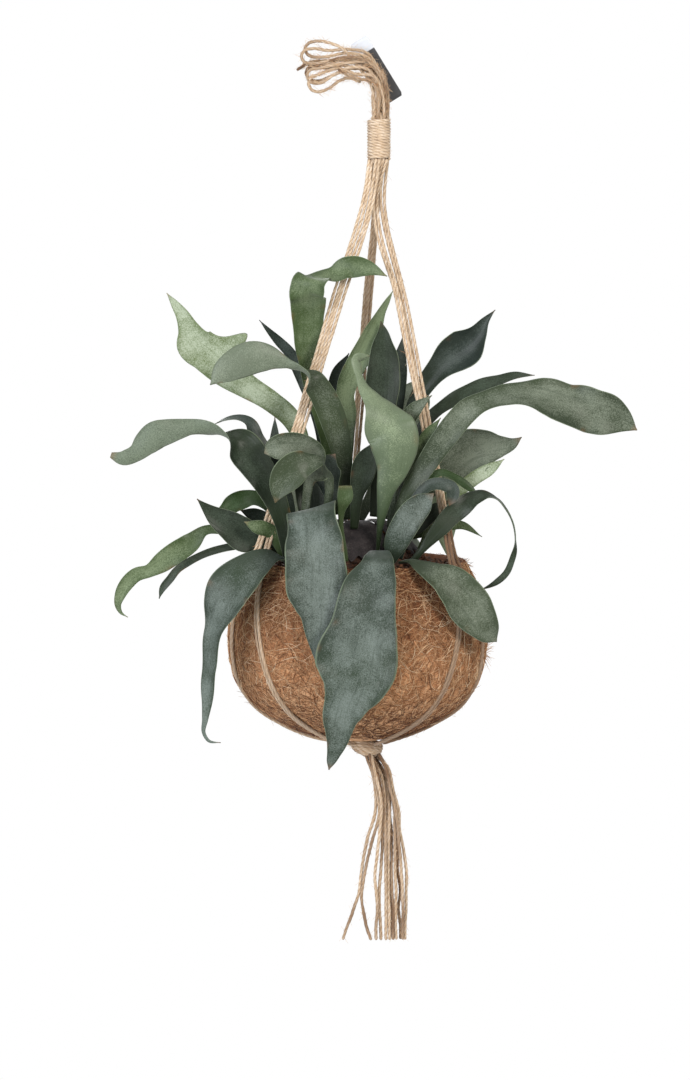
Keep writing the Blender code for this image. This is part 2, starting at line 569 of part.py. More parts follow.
def pair_route(leg, number):
    """A pair's route: out of the whipping, down its leg, then round the ball to the knot."""
    sign = (-1, 1)[number]
    turn = math.radians(leg.neck_turns[number])
    points = [(PAIR_RING * math.cos(turn), PAIR_RING * math.sin(turn), -NECK_HEIGHT / 2 - 1.2)]
    for share, spread, low in LEG_STEPS:
        x, y, z = (a + (b - a) * share for a, b in zip(leg.below, leg.shoulder))
        wide, deep = (a + (b - a) * low for a, b in zip(leg.apart, leg.foot_apart))
        points.append((x + sign * spread * wide, y + sign * spread * deep, z))
    high, low = leg.sling_turns[number]
    for step, height in enumerate(SLING_HEIGHTS):
        turn = high + (low - high) * step / (len(SLING_HEIGHTS) - 1)
        points.append(on_ball(turn, height, PAIR_DIAMETER / 2 + 1.2))
    angle = math.radians(low)
    points.append((
        KNOT_CENTRE[0] + (KNOT_RADII[0] + KNOT_GAP) * math.cos(angle),
        KNOT_CENTRE[1] + (KNOT_RADII[1] + KNOT_GAP) * math.sin(angle),
        KNOT_CENTRE[2] + 3.0,
    ))
    return points


def add_hanger_pairs(parts, finish):
    """Six pairs of strands, each whole from the neck to the knot under the ball."""
    for leg in LEGS:
        for number in range(2):
            name = f"hanger_{leg.name}_pair_{number + 1}"
            add_cord(parts, name, pair_route(leg, number), PAIR_DIAMETER, finish)


def add_neck(parts, finish):
    """The whipping that gathers the twelve strands."""
    bpy.ops.mesh.primitive_cylinder_add(
        vertices=20, radius=NECK_RADIUS * MM, depth=NECK_HEIGHT * MM, location=(0, 0, 0)
    )
    neck = bpy.context.object
    neck.name = "neck_whipping"
    neck.data.materials.append(finish)
    parts.objects.link(neck)
    bpy.context.collection.objects.unlink(neck)
    return neck


def add_knot(parts, finish):
    """The knot that closes the hanger under the ball."""
    bpy.ops.mesh.primitive_uv_sphere_add(segments=16, ring_count=10, radius=MM)
    knot = bpy.context.object
    knot.name = "bottom_knot"
    knot.scale = KNOT_RADII
    knot.location = [value * MM for value in KNOT_CENTRE]
    bpy.ops.object.transform_apply(location=False, rotation=False, scale=True)
    knot.data.materials.append(finish)
    parts.objects.link(knot)
    bpy.context.collection.objects.unlink(knot)
    return knot


def add_label(parts):
    """The plain card that stands behind the gathered cords."""
    bpy.ops.mesh.primitive_cube_add(size=MM)
    label = bpy.context.object
    label.name = "plant_label"
    label.scale = LABEL_SIZE
    bpy.ops.object.transform_apply(location=False, rotation=False, scale=True)
    label.location = [value * MM for value in LABEL_CENTRE]
    label.rotation_euler = (0.0, math.radians(LABEL_TURN), 0.0)
    label.data.materials.append(material("plant_label", CARD_WHITE, 0.5))
    parts.objects.link(label)
    bpy.context.collection.objects.unlink(label)
    return label


def main():
    """Builds every sub-part in one collection."""
    for old in list(bpy.data.objects):
        bpy.data.objects.remove(old)
    parts = bpy.data.collections.new("staghorn_fern")
    bpy.context.scene.collection.children.link(parts)
    jute = material("jute", JUTE, 0.9)
    add_basket(parts)
    add_medium(parts)
    for name, turns, reach, bulge in SHIELDS:
        add_shield(parts, name, turns, reach, bulge)
    for frond in (*FRONDS, *BACK_FRONDS):
        add_frond(parts, frond)
    add_hanger_pairs(parts, jute)
    add_neck(parts, jute)
    add_knot(parts, jute)
    for name, points in TAILS:
        add_cord(parts, name, points, TAIL_DIAMETER, jute)
    for name, points in LOOPS:
        add_cord(parts, name, points, STRAND_DIAMETER, jute)
    add_label(parts)


main()
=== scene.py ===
"""Staghorn fern in a coir ball, slung in a jute hanger: the finished surfaces and finishes.

Every piece stands where the frame's node of the same piece stands. Tables are in millimetres, from
the middle of the whipping that gathers the hanger's cords: +Z up, -Y towards the best side. Shapes
are functions of two parameters on a grid, worked out as whole arrays.
"""

import logging
import math
from dataclasses import dataclass, field
from enum import Enum

import bpy
import numpy as np
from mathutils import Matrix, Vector
from numpy.typing import NDArray


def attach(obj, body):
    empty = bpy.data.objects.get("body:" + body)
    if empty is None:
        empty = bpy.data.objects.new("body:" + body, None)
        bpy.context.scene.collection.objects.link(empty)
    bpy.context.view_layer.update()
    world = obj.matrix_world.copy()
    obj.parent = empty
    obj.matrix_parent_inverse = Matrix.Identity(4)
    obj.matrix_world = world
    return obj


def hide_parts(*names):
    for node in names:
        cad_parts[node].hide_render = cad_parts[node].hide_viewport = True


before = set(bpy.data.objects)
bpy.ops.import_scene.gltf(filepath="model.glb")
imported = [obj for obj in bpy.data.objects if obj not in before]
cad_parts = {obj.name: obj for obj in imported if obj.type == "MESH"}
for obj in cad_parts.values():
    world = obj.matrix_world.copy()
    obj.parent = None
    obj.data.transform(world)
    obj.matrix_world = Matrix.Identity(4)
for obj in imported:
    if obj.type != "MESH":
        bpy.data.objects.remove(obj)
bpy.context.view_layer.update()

LOG = logging.getLogger("staghorn_fern")
Array = NDArray[np.float64]
Row = tuple[float, ...]
MM = 0.001
TAU = 2.0 * math.pi
DIRECTIONS: dict[str, Row] = {
    "F": (0, -1, 0), "B": (0, 1, 0), "L": (-1, 0, 0), "R": (1, 0, 0), "U": (0, 0, 1), "D": (0, 0, -1),
}


# ---------------------------------------------------------------- shapes


def unit(vectors: Array) -> Array:
    """Vectors at length one, along the last axis."""
    return vectors / np.maximum(np.linalg.norm(vectors, axis=-1, keepdims=True), 1e-12)


def smooth_path(points: tuple[Row, ...] | list[Row], count: int) -> Array:
    """Evenly spaced rows on a smooth curve through every given row.

    The curve is a cubic between neighbours whose slope at a point is the mean of the slopes on
    both sides, weighted by distance. Columns past x, y, z are carried along.

    Args:
        points: rows of x, y, z and any more columns.
        count: how many rows to read.

    Returns:
        The rows, count by columns.
    """
    rows = np.array(points, dtype=float)
    steps = np.linalg.norm(np.diff(rows[:, :3], axis=0), axis=1)
    knots = np.concatenate(([0.0], np.cumsum(steps)))
    slopes = np.gradient(rows, knots, axis=0)
    along = np.linspace(0.0, knots[-1], count)
    span = np.clip(np.searchsorted(knots, along, side="right") - 1, 0, len(steps) - 1)
    width = steps[span][:, None]
    t = ((along - knots[span]) / steps[span])[:, None]
    return (
        (2 * t**3 - 3 * t**2 + 1) * rows[span]
        + (t**3 - 2 * t**2 + t) * width * slopes[span]
        + (3 * t**2 - 2 * t**3) * rows[span + 1]
        + (t**3 - t**2) * width * slopes[span + 1]
    )


def path_length(points: Array) -> float:
    """Length of a line of points."""
    return float(np.linalg.norm(np.diff(points[:, :3], axis=0), axis=1).sum())


def noise(points: Array, cell: float, seed: int) -> Array:
    """Smooth value noise from -1 to 1.

    Each corner of a cubic lattice gets a number hashed from its place, and a point blends its
    eight corners with the weights 3t^2 - 2t^3.

    Args:
        points: places, in rows of x, y, z.
        cell: lattice spacing, in the places' own unit.
        seed: picks the pattern.

    Returns:
        One value for each place.
    """
    scaled = points / cell + 1000.0
    base = np.floor(scaled).astype(np.int64)
    part = scaled - base
    part = part * part * (3 - 2 * part)
    total = np.zeros(points.shape[:-1])
    for corner in range(8):
        step = np.array([(corner >> axis) & 1 for axis in range(3)])
        place = (base + step).astype(np.uint64)
        mixed = (
            place[..., 0] * np.uint64(73856093)
            ^ place[..., 1] * np.uint64(19349663)
            ^ place[..., 2] * np.uint64(83492791)
            ^ np.uint64(seed * 2654435761 % 2**32)
        )
        mixed = (mixed ^ (mixed >> np.uint64(13))) * np.uint64(1274126177) % np.uint64(2**32)
        value = ((mixed ^ (mixed >> np.uint64(16))) & np.uint64(65535)).astype(float) / 32767.5 - 1.0
        total += value * np.prod(np.where(step == 1, part, 1 - part), axis=-1)
    return total


def frames_along(line: Array) -> tuple[Array, Array, Array]:
    """Directions along a line: forward, and two across it that turn as little as they can.

    The side starts square to the first step and is carried on by removing, at each step, what
    of it points forward.

    Args:
        line: the line's points.

    Returns:
        Forward, side and up, one of each for every point.
    """
    forward = unit(np.gradient(line[:, :3], axis=0))
    seed = np.array([0.0, 0.0, 1.0]) if abs(forward[0, 2]) < 0.9 else np.array([1.0, 0.0, 0.0])
    side = np.empty_like(forward)
    current = np.cross(seed, forward[0])
    for row, ahead in enumerate(forward):
        current = current - ahead * np.dot(current, ahead)
        current = current / np.linalg.norm(current)
        side[row] = current
    return forward, side, np.cross(forward, side)


def grid_faces(rows: int, around: int) -> tuple[Array, Array]:
    """Quads of a tube of rings, and the caps that close its two ends.

    Args:
        rows: number of rings.
        around: points in each ring.

    Returns:
        The quads as rows of four point numbers, and the caps as rows of `around` numbers.
    """
    ring = np.arange(around)
    start = (np.arange(rows - 1) * around)[:, None]
    after = (ring + 1) % around
    quads = np.stack([
        start + ring, start + after, start + around + after, start + around + ring,
    ], axis=-1).reshape(-1, 4)
    last = (rows - 1) * around
    return quads, np.stack([ring[::-1], last + ring])


def make_mesh(
    name: str, points: Array, faces: list[Array], values: dict[str, Array] | None = None
) -> bpy.types.Object:
    """An object at the origin from points in millimetres.

    Args:
        name: the piece's name.
        points: the mesh's points.
        faces: arrays of point numbers, one array for each number of corners.
        values: named numbers, one for each point, that its finish reads.

    Returns:
        The object, shaded smooth.
    """
    mesh = bpy.data.meshes.new(name)
    corners = np.concatenate([part.reshape(-1) for part in faces]).astype(np.int32)
    sizes = np.concatenate([np.full(len(part), part.shape[1]) for part in faces]).astype(np.int32)
    starts = np.concatenate(([0], np.cumsum(sizes)[:-1])).astype(np.int32)
    mesh.vertices.add(len(points))
    mesh.vertices.foreach_set("co", (points * MM).astype(np.float32).reshape(-1))
    mesh.loops.add(len(corners))
    mesh.loops.foreach_set("vertex_index", corners)
    mesh.polygons.add(len(sizes))
    mesh.polygons.foreach_set("loop_start", starts)
    mesh.update(calc_edges=True)
    mesh.validate()
    for key, numbers in (values or {}).items():
        layer = mesh.attributes.new(key, "FLOAT", "POINT")
        layer.data.foreach_set("value", np.asarray(numbers, dtype=np.float32).reshape(-1))
    mesh.shade_smooth()
    piece = bpy.data.objects.new(name, mesh)
    bpy.context.scene.collection.objects.link(piece)
    return piece


def place(
    piece: bpy.types.Object, slot: str, finish: bpy.types.Material, nodes: tuple[str, ...] = ()
) -> bpy.types.Object:
    """Dresses a piece and ties it to the frame.

    Args:
        piece: the finished object.
        slot: the record's material slot; not used.
        finish: its material.
        nodes: the frame's nodes that it stands for.

    Returns:
        The same object.
    """
    piece.data.materials.append(finish)
    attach(piece, "root")
    if nodes:
        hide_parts(*nodes)
    LOG.info("%s: %d faces", piece.name, len(piece.data.polygons))
    return piece


# ---------------------------------------------------------------- finishes


def linear(code: str) -> tuple[float, float, float, float]:
    """Turns a colour into linear light.

    Args:
        code: the colour as an sRGB hex code.

    Returns:
        Its red, green and blue in linear light, and an alpha of 1.
    """
    parts = [int(code[start:start + 2], 16) / 255.0 for start in (1, 3, 5)]
    red, green, blue = (
        part / 12.92 if part <= 0.04045 else ((part + 0.055) / 1.055) ** 2.4 for part in parts
    )
    return red, green, blue, 1.0


def lumps(size_mm: float, detail: float) -> dict[str, float]:
    """Settings of a noise on coordinates in metres whose lumps have a real size.

    Args:
        size_mm: the lumps' size, in millimetres.
        detail: how many finer layers it has.

    Returns:
        The noise's inputs by name.
    """
    return {"Scale": 1.0 / (size_mm * MM), "Detail": detail, "Roughness": 0.6}


class Recipe:
    """The nodes of a material, or of the surround, put together one by one."""

    def __init__(self, block: bpy.types.Material | bpy.types.World) -> None:
        """Starts the nodes of a new material or world.

        Args:
            block: the material or world.
        """
        block.use_nodes = True
        self.block = block
        self.tree = block.node_tree

    def feed(self, node: bpy.types.Node, inputs: dict[int | str, object]) -> None:
        """Feeds a node's inputs.

        Args:
            node: the node.
            inputs: its inputs' numbers or names, each with the socket or the plain value for it.
        """
        for key, value in inputs.items():
            if isinstance(value, bpy.types.NodeSocket):
                self.tree.links.new(value, node.inputs[key])
            else:
                node.inputs[key].default_value = value

    def add(
        self, kind: str, *inputs: object, at: dict[int | str, object] | None = None,
        output: int | str = 0, stops: tuple[tuple[float, str], ...] = (), **settings: object,
    ) -> bpy.types.NodeSocket:
        """Adds a node with its settings and links.

        Args:
            kind: the node's type, without its first word ShaderNode.
            inputs: the sockets or plain values for its first inputs, in order.
            at: the sockets or plain values for more inputs, by number or name.
            output: the output to hand back, by number or name.
            stops: a colour ramp's places from 0 to 1, each with its hex code.
            settings: its attributes.

        Returns:
            The output.
        """
        node = self.tree.nodes.new(f"ShaderNode{kind}")
        for key, value in settings.items():
            setattr(node, key, value)
        self.feed(node, {**dict(enumerate(inputs)), **(at or {})})
        for number, (spot, code) in enumerate(stops):
            bands = node.color_ramp.elements
            band = bands[number] if number < 2 else bands.new(spot)
            band.position, band.color = spot, linear(code)
        return node.outputs[output]

    def shade(self, inputs: dict[int | str, object]) -> bpy.types.Material:
        """Feeds the Principled shader.

        Args:
            inputs: its inputs' names, each with the socket or the plain value for it.

        Returns:
            The finished material.
        """
        self.feed(self.tree.nodes["Principled BSDF"], inputs)
        return self.block


class Tone(Enum):
    """The fern's leaf colours, as slots of the record."""

    GREY_GREEN = "frond_grey_green"
    BLUE_GREY = "frond_blue_grey"
    SAGE = "frond_sage"
    MID_GREEN = "frond_mid_green"
    BRIGHT_GREEN = "frond_bright_green"
    LIGHT_GREEN = "frond_light_green"
    # Dark green, partly painted shade for fronds that hang in the shade of others.
    DARK_GREEN = "frond_dark_green"
    SLATE = "frond_slate"


@dataclass(frozen=True)
class FrondFinish:
    """Living fern leaf under a felt of star-shaped hairs.

    The blade is a leathery green skin. A pale grey felt lies over it, which makes it matt and
    bluish: thickest in the blade's middle, worn off along the rims, thin near the stalk, which is
    partly wear and partly painted shade on the folds by the root, and broken into specks about a
    millimetre across. A thin pale line runs along each rim, and the underside is paler, less so near the
    stalk.

    tone: the record's slot. skin, felt: the leaf's own colour and the hairs'. ridge: the skin's
    colour where the plant is younger. cover: how much of the skin the felt hides. under: how far
    the underside goes to its own pale colour. speck_mm, patch_mm, vein_mm: the size of the felt's
    specks, of its slow changes and of the veins. roughness: the bare skin's.
    """

    tone: Tone
    skin: str
    felt: str
    ridge: str
    cover: float
    under: float = 0.62
    speck_mm: float = 0.85
    patch_mm: float = 24.0
    vein_mm: float = 2.4
    roughness: float = 0.42
    pale_felt: str = "#93a08a"
    rim_line: str = "#9fae8c"
    dead: str = "#7a5130"
    rim_from: float = 0.955

    def material(self) -> bpy.types.Material:
        """Builds the leaf's material.

        Returns:
            The material, which reads the blade's across, sideways, lengthways, upper, tint,
            stalk and browning numbers.
        """
        recipe = Recipe(bpy.data.materials.new(f"felted_leaf_{self.tone.name.lower()}"))
        add = recipe.add
        spot = add("TexCoord", output="Object")
        across, sideways, lengthways, upper, tint, stalk, browning = (
            add("Attribute", output="Fac", attribute_name=name) for name in (
                "across", "sideways", "lengthways", "upper", "tint", "stalk", "browning",
            )
        )
        away = add("Math", across, operation="ABSOLUTE")
        patch = add("TexNoise", spot, at=lumps(self.patch_mm, 3.0))
        speck = add("TexNoise", spot, at=lumps(self.speck_mm, 1.0))
        # The felt's cover is its mean, with specks and patches, less what is worn at the rim, and less near
        # the stalk: partly wear, partly painted shade on the folds by the root.
        specked = add("Math", speck, 2.0, self.cover - 2.1, operation="MULTIPLY_ADD")
        patchy = add("Math", patch, 2.2, specked, operation="MULTIPLY_ADD")
        rim_wear = add("Math", away, 4.0, operation="POWER")
        wear_and_shade = add("Math", stalk, 0.95, rim_wear, operation="MULTIPLY_ADD")
        cover = add("Math", wear_and_shade, -0.72, patchy, operation="MULTIPLY_ADD", use_clamp=True)
        # The veins are long streaks on the blade's own two directions.
        line = add("CombineXYZ", sideways, lengthways, tint)
        drawn = add("Mapping", line, at={"Scale": (1.0, 0.05, 0.0)})
        veins = add("TexNoise", drawn, at={"Scale": 1.0 / self.vein_mm, "Detail": 1.0})
        vein = add("Math", veins, 1.6, -0.832, operation="MULTIPLY_ADD", use_clamp=True)
        # The underside's paler colour fades near the stalk: partly wear, partly painted shade.
        below = add("Math", 1.0, upper, operation="SUBTRACT")
        away_from_stalk = add("Math", 1.0, stalk, operation="SUBTRACT")
        low = add("Math", below, away_from_stalk, operation="MULTIPLY", use_clamp=True)
        rim = add("Math", away, 18.0, -18.0 * self.rim_from, operation="MULTIPLY_ADD", use_clamp=True)
        felt = linear(self.felt)
        pale = add("Mix", speck, at={6: felt, 7: linear(self.pale_felt)}, output=2, data_type="RGBA")
        colour = linear(self.skin)
        for share, layer in (
            (add("Math", tint, 0.5, operation="MULTIPLY"), linear(self.ridge)),
            (cover, felt),
            (vein, linear(self.skin)),
            (add("Math", low, self.under, operation="MULTIPLY"), pale),
            (add("Math", rim, 0.6, operation="MULTIPLY"), linear(self.rim_line)),
            (browning, linear(self.dead)),
        ):
            colour = add("Mix", share, at={6: colour, 7: layer}, output=2, data_type="RGBA")
        grain = add("Math", speck, 0.5, operation="MULTIPLY")
        relief = add("Math", veins, 1.5, grain, operation="MULTIPLY_ADD")
        return recipe.shade({
            "Base Color": colour,
            "Roughness": add("Math", cover, 0.2, self.roughness, operation="MULTIPLY_ADD"),
            "IOR": 1.42,
            "Specular IOR Level": 0.4,
            "Sheen Weight": 0.1,
            "Sheen Roughness": 0.5,
            "Sheen Tint": linear("#cfd8d4"),
            "Normal": add("Bump", at={"Strength": 0.8, "Distance": 0.22 * MM, "Height": relief}),
        })


@dataclass(frozen=True)
class ShieldFinish:
    """Old shield frond: a dead, papery plate, which looks nearly black brown, with dusty patches.

    dark, plate, dust: its colours from its hollows to its dust.
    """

    dark: str = "#171416"
    plate: str = "#302a2b"
    dust: str = "#55514f"
    roughness: float = 0.7

    def material(self) -> bpy.types.Material:
        """Builds the plate's material, from patches 14 mm across and specks of 1.6 mm."""
        recipe = Recipe(bpy.data.materials.new("dry_shield_frond"))
        add = recipe.add
        spot = add("TexCoord", output="Object")
        patch = add("TexNoise", spot, at=lumps(14.0, 3.0))
        speck = add("TexNoise", spot, at=lumps(1.6, 2.0))
        dusty = add("Math", speck, 0.4, operation="MULTIPLY")
        blend = add("Math", patch, 0.7, dusty, operation="MULTIPLY_ADD")
        return recipe.shade({
            "Base Color": add(
                "ValToRGB", blend, stops=((0.35, self.dark), (0.55, self.plate), (0.8, self.dust))
            ),
            "Roughness": self.roughness,
            "IOR": 1.4,
            "Normal": add("Bump", at={"Strength": 1.0, "Distance": 0.4 * MM, "Height": speck}),
        })


@dataclass(frozen=True)
class CoirFinish:
    """Felted coconut husk: a dry matt mat of short brown fibres, with painted shade where they lie deep and
    towards the ball's foot.

    deep, mid, pale: the mat's colours from its hollows up, the deep one partly painted shade between the
    fibres. fibres: the loose fibres' colours from the darkest to the palest. streaks: the ways that the mat's
    fibres run, in radians.
    """

    deep: str = "#6b422b"
    mid: str = "#b9865e"
    pale: str = "#e0bc95"
    fibres: tuple[tuple[float, str], ...] = (
        (0.0, "#4c2b19"), (0.3, "#895c3b"), (0.6, "#bd9067"), (0.85, "#dab892"), (1.0, "#ead3b3"),
    )
    streaks: Row = (0.3, 1.1, 1.9, 2.7)
    roughness: float = 0.88

    def mat(self) -> bpy.types.Material:
        """Builds the mat under the loose fibres, from crossing streaks on the piece's own map.

        Returns:
            The material, which reads the ball's turn and down numbers, in millimetres.
        """
        recipe = Recipe(bpy.data.materials.new("coir_mat"))
        add = recipe.add
        spot = add("TexCoord", output="Object")
        turn, down = (
            add("Attribute", output="Fac", attribute_name=name) for name in ("turn", "down")
        )
        flat = add("CombineXYZ", turn, down)
        height = None
        for number, way in enumerate(self.streaks):
            bent = add("Mapping", flat, at={
                "Rotation": (0, 0, way), "Location": (37.0 * number, 11.0, 0),
            })
            drawn = add("Mapping", bent, at={"Scale": (0.07, 1.0, 1.0)})
            wisp = add("TexNoise", drawn, at={
                "Scale": 1.25, "Detail": 2.0, "Roughness": 0.55, "Distortion": 0.6,
            })
            height = add("Math", height, wisp, operation="MAXIMUM") if number else wisp
        tuft = add("TexNoise", spot, at=lumps(9.0, 2.0))
        # Painted shade: the ball is darker towards its foot, from 90 mm below the rim.
        shade = add("Math", down, 0.005, -0.45, operation="MULTIPLY_ADD", use_clamp=True)
        # Painted shade: the mat is darker in the hollows between its streaks.
        raised = add("Math", height, 1.7, -0.6, operation="MULTIPLY_ADD")
        tufted = add("Math", tuft, 0.5, raised, operation="MULTIPLY_ADD")
        light = add("Math", tufted, shade, operation="SUBTRACT")
        return recipe.shade({
            "Base Color": add(
                "ValToRGB", light, stops=((0.15, self.deep), (0.5, self.mid), (0.9, self.pale))
            ),
            "Roughness": self.roughness,
            "Specular IOR Level": 0.2,
            "Normal": add("Bump", at={"Strength": 1.0, "Distance": 1.2 * MM, "Height": height}),
        })

    def fibre(self) -> bpy.types.Material:
        """Builds the loose fibres' finish, each with its own shade of straw or husk brown, and painted shade
        laid in for some.

        Returns:
            The material, which reads each fibre's shade from 0, dark, to 1, pale.
        """
        recipe = Recipe(bpy.data.materials.new("coir_fibre"))
        shade = recipe.add("Attribute", output="Fac", attribute_name="shade")
        return recipe.shade({
            "Base Color": recipe.add("ValToRGB", shade, stops=self.fibres),
            "Roughness": 0.6,
            "IOR": 1.5,
            "Specular IOR Level": 0.3,
        })


@dataclass(frozen=True)
class PeatFinish:
    """Damp bark compost: dark matt crumbs with a few reddish bark flakes.

    damp, crumb, bark: its colours from its hollows up. crumb_mm: the crumbs' size.
    """

    damp: str = "#160d08"
    crumb: str = "#3c2416"
    bark: str = "#6b4329"
    crumb_mm: float = 4.0

    def material(self) -> bpy.types.Material:
        """Builds the compost's material, from cells as big as its crumbs and lumps of 3 mm."""
        recipe = Recipe(bpy.data.materials.new("bark_compost"))
        add = recipe.add
        spot = add("TexCoord", output="Object")
        cells = add("TexVoronoi", spot, at={"Scale": 1.0 / (self.crumb_mm * MM)})
        lump = add("TexNoise", spot, at=lumps(3.0, 3.0))
        blend = add("Math", cells, 0.45, lump, operation="MULTIPLY_ADD")
        return recipe.shade({
            "Base Color": add(
                "ValToRGB", blend, stops=((0.35, self.damp), (0.7, self.crumb), (1.0, self.bark))
            ),
            "Roughness": 0.85,
            "Normal": add("Bump", at={"Strength": 1.0, "Distance": 1.5 * MM, "Height": blend}),
        })


@dataclass(frozen=True)
class JuteFinish:
    """Three-ply jute twine: dry pale fibres twisted together, with painted shade in its grooves, brown
    stains, and painted shade under the fronds.

    groove, ply, bright: its colours from the painted shade between its plies up. stain, fleck: what damp
    and bits of bark leave on it, and painted shade where a leg runs under the fronds. fibre_mm, fleck_mm: the
    fibres' width, drawn coarser than the real 0.05 mm so that they show, and the flecks'.
    """

    groove: str = "#8b6c4d"
    ply: str = "#c9b296"
    bright: str = "#f0e6d9"
    stain: str = "#6d523b"
    fleck: str = "#6b4a33"
    fibre_mm: float = 0.42
    fleck_mm: float = 1.1
    roughness: float = 0.82

    def material(self) -> bpy.types.Material:
        """Builds the twine's material.

        Returns:
            The material, which reads a strand's along, around, groove and stain numbers.
        """
        recipe = Recipe(bpy.data.materials.new("jute_twine"))
        add = recipe.add
        spot = add("TexCoord", output="Object")
        along, around, groove, stain = (
            add("Attribute", output="Fac", attribute_name=name)
            for name in ("along", "around", "groove", "stain")
        )
        flat = add("CombineXYZ", around, along)
        drawn = add("Mapping", flat, at={"Scale": (1.0, 0.09, 1.0)})
        fibres = add("TexNoise", drawn, at={
            "Scale": 1.0 / self.fibre_mm, "Detail": 2.0, "Roughness": 0.6,
        })
        slub = add("TexNoise", spot, at=lumps(7.0, 2.0))
        light = add("Math", fibres, 0.9, -0.25, operation="MULTIPLY_ADD")
        light = add("Math", slub, 0.6, light, operation="MULTIPLY_ADD")
        # Painted shade: the twine is darker in the grooves between its plies.
        light = add("Math", groove, -0.35, light, operation="MULTIPLY_ADD")
        bits = add("TexNoise", spot, at=lumps(self.fleck_mm, 1.0))
        fleck = add("Math", bits, 7.0, -4.34, operation="MULTIPLY_ADD", use_clamp=True)
        uneven = add("Math", slub, 0.5, -0.25, operation="MULTIPLY_ADD")
        blot = add("Math", uneven, stain, operation="ADD")
        blot = add("Math", blot, stain, operation="MULTIPLY", use_clamp=True)
        colour = add(
            "ValToRGB", light, stops=((0.05, self.groove), (0.45, self.ply), (0.85, self.bright))
        )
        for share, layer in (
            (add("Math", fleck, 0.6, operation="MULTIPLY"), self.fleck), (blot, self.stain),
        ):
            colour = add(
                "Mix", share, at={6: colour, 7: linear(layer)}, output=2, data_type="RGBA"
            )
        return recipe.shade({
            "Base Color": colour,
            "Roughness": self.roughness,
            "IOR": 1.5,
            "Specular IOR Level": 0.25,
            "Sheen Weight": 0.2,
            "Sheen Roughness": 0.6,
            "Normal": add("Bump", at={"Strength": 1.0, "Distance": 0.25 * MM, "Height": fibres}),
        })


@dataclass(frozen=True)
class CardFinish:
    """Coated card: smooth, pale and slightly glossy, with a printed dark grey field.

    paper, paper_speck: the blank end's two near colours. field: the dark field's. split: how far
    up the card the field goes, in metres from its middle.
    """

    paper: str = "#c3c7cf"
    paper_speck: str = "#cdd1d8"
    field: str = "#3b3b3d"
    split: float = 0.0165

    def material(self) -> bpy.types.Material:
        """Builds the card's material, which reads the card's up number, in metres."""
        recipe = Recipe(bpy.data.materials.new("coated_card"))
        add = recipe.add
        spot = add("TexCoord", output="Object")
        up = add("Attribute", output="Fac", attribute_name="up")
        speck = add("TexNoise", spot, at=lumps(0.8, 1.0))
        low = add("Math", up, self.split, operation="LESS_THAN")
        colour = linear(self.paper)
        for share, layer in ((speck, self.paper_speck), (low, self.field)):
            colour = add("Mix", share, at={6: colour, 7: linear(layer)}, output=2, data_type="RGBA")
        return recipe.shade({
            "Base Color": colour,
            "Roughness": 0.38,
            "Normal": add("Bump", at={"Strength": 0.3, "Distance": 0.05 * MM, "Height": speck}),
        })


FROND_FINISHES: dict[Tone, FrondFinish] = {
    Tone.GREY_GREEN: FrondFinish(Tone.GREY_GREEN, "#273122", "#6a7263", "#3c492b", 0.55),
    Tone.BLUE_GREY: FrondFinish(Tone.BLUE_GREY, "#222d24", "#626c66", "#33412d", 0.6),
    Tone.SAGE: FrondFinish(Tone.SAGE, "#5c6a45", "#a0ab95", "#56663f", 0.66),
    Tone.MID_GREEN: FrondFinish(Tone.MID_GREEN, "#314124", "#6c7a5c", "#4d5f34", 0.45),
    Tone.BRIGHT_GREEN: FrondFinish(Tone.BRIGHT_GREEN, "#1d2f10", "#44573a", "#38511f", 0.25),
    Tone.LIGHT_GREEN: FrondFinish(Tone.LIGHT_GREEN, "#33432a", "#7d8b6b", "#37452a", 0.5, under=0.6),
    # The dark green is partly painted shade for fronds that hang in the shade of others.
    Tone.DARK_GREEN: FrondFinish(Tone.DARK_GREEN, "#141d11", "#394537", "#29371f", 0.35),
    Tone.SLATE: FrondFinish(Tone.SLATE, "#1a2420", "#434c47", "#2f3b2a", 0.5),
}


# ---------------------------------------------------------------- foliage


@dataclass(frozen=True)
class Frond:
    """One foliage frond.

    facing: the way its upper side looks, in steps from root to tip, as letters of DIRECTIONS.
    root: where it leaves the clump (x, y) and its width there.
    path: the midline's other points (x, y, z), each with the blade's width.
    cup: how far the rims stand above the middle, as a share of the width.
    ripple: how far the rims wave, as a share of half the width.
    lobes: extra points of the rim, each with its share along the frond, its side (1 or -1), how
    far it stands out and its half breadth.
    fade: the share of its length over which the felt thickens from the root; a long one also paints shade on
    the blade's lower part.
    felt_loss: how much of its felt is taken off, as wear and as painted shade, or, if below nought, how much
    thicker it is, as painted light on a frond that others shade.
    stands_for_node: false for a small frond that the frame doesn't hold.
    """

    name: str
    tone: Tone
    facing: str
    root: Row
    path: tuple[Row, ...]
    cup: float = 0.10
    ripple: float = 0.08
    lobes: tuple[Row, ...] = ()
    fade: float = 0.33
    felt_loss: float = 0.0
    stands_for_node: bool = True


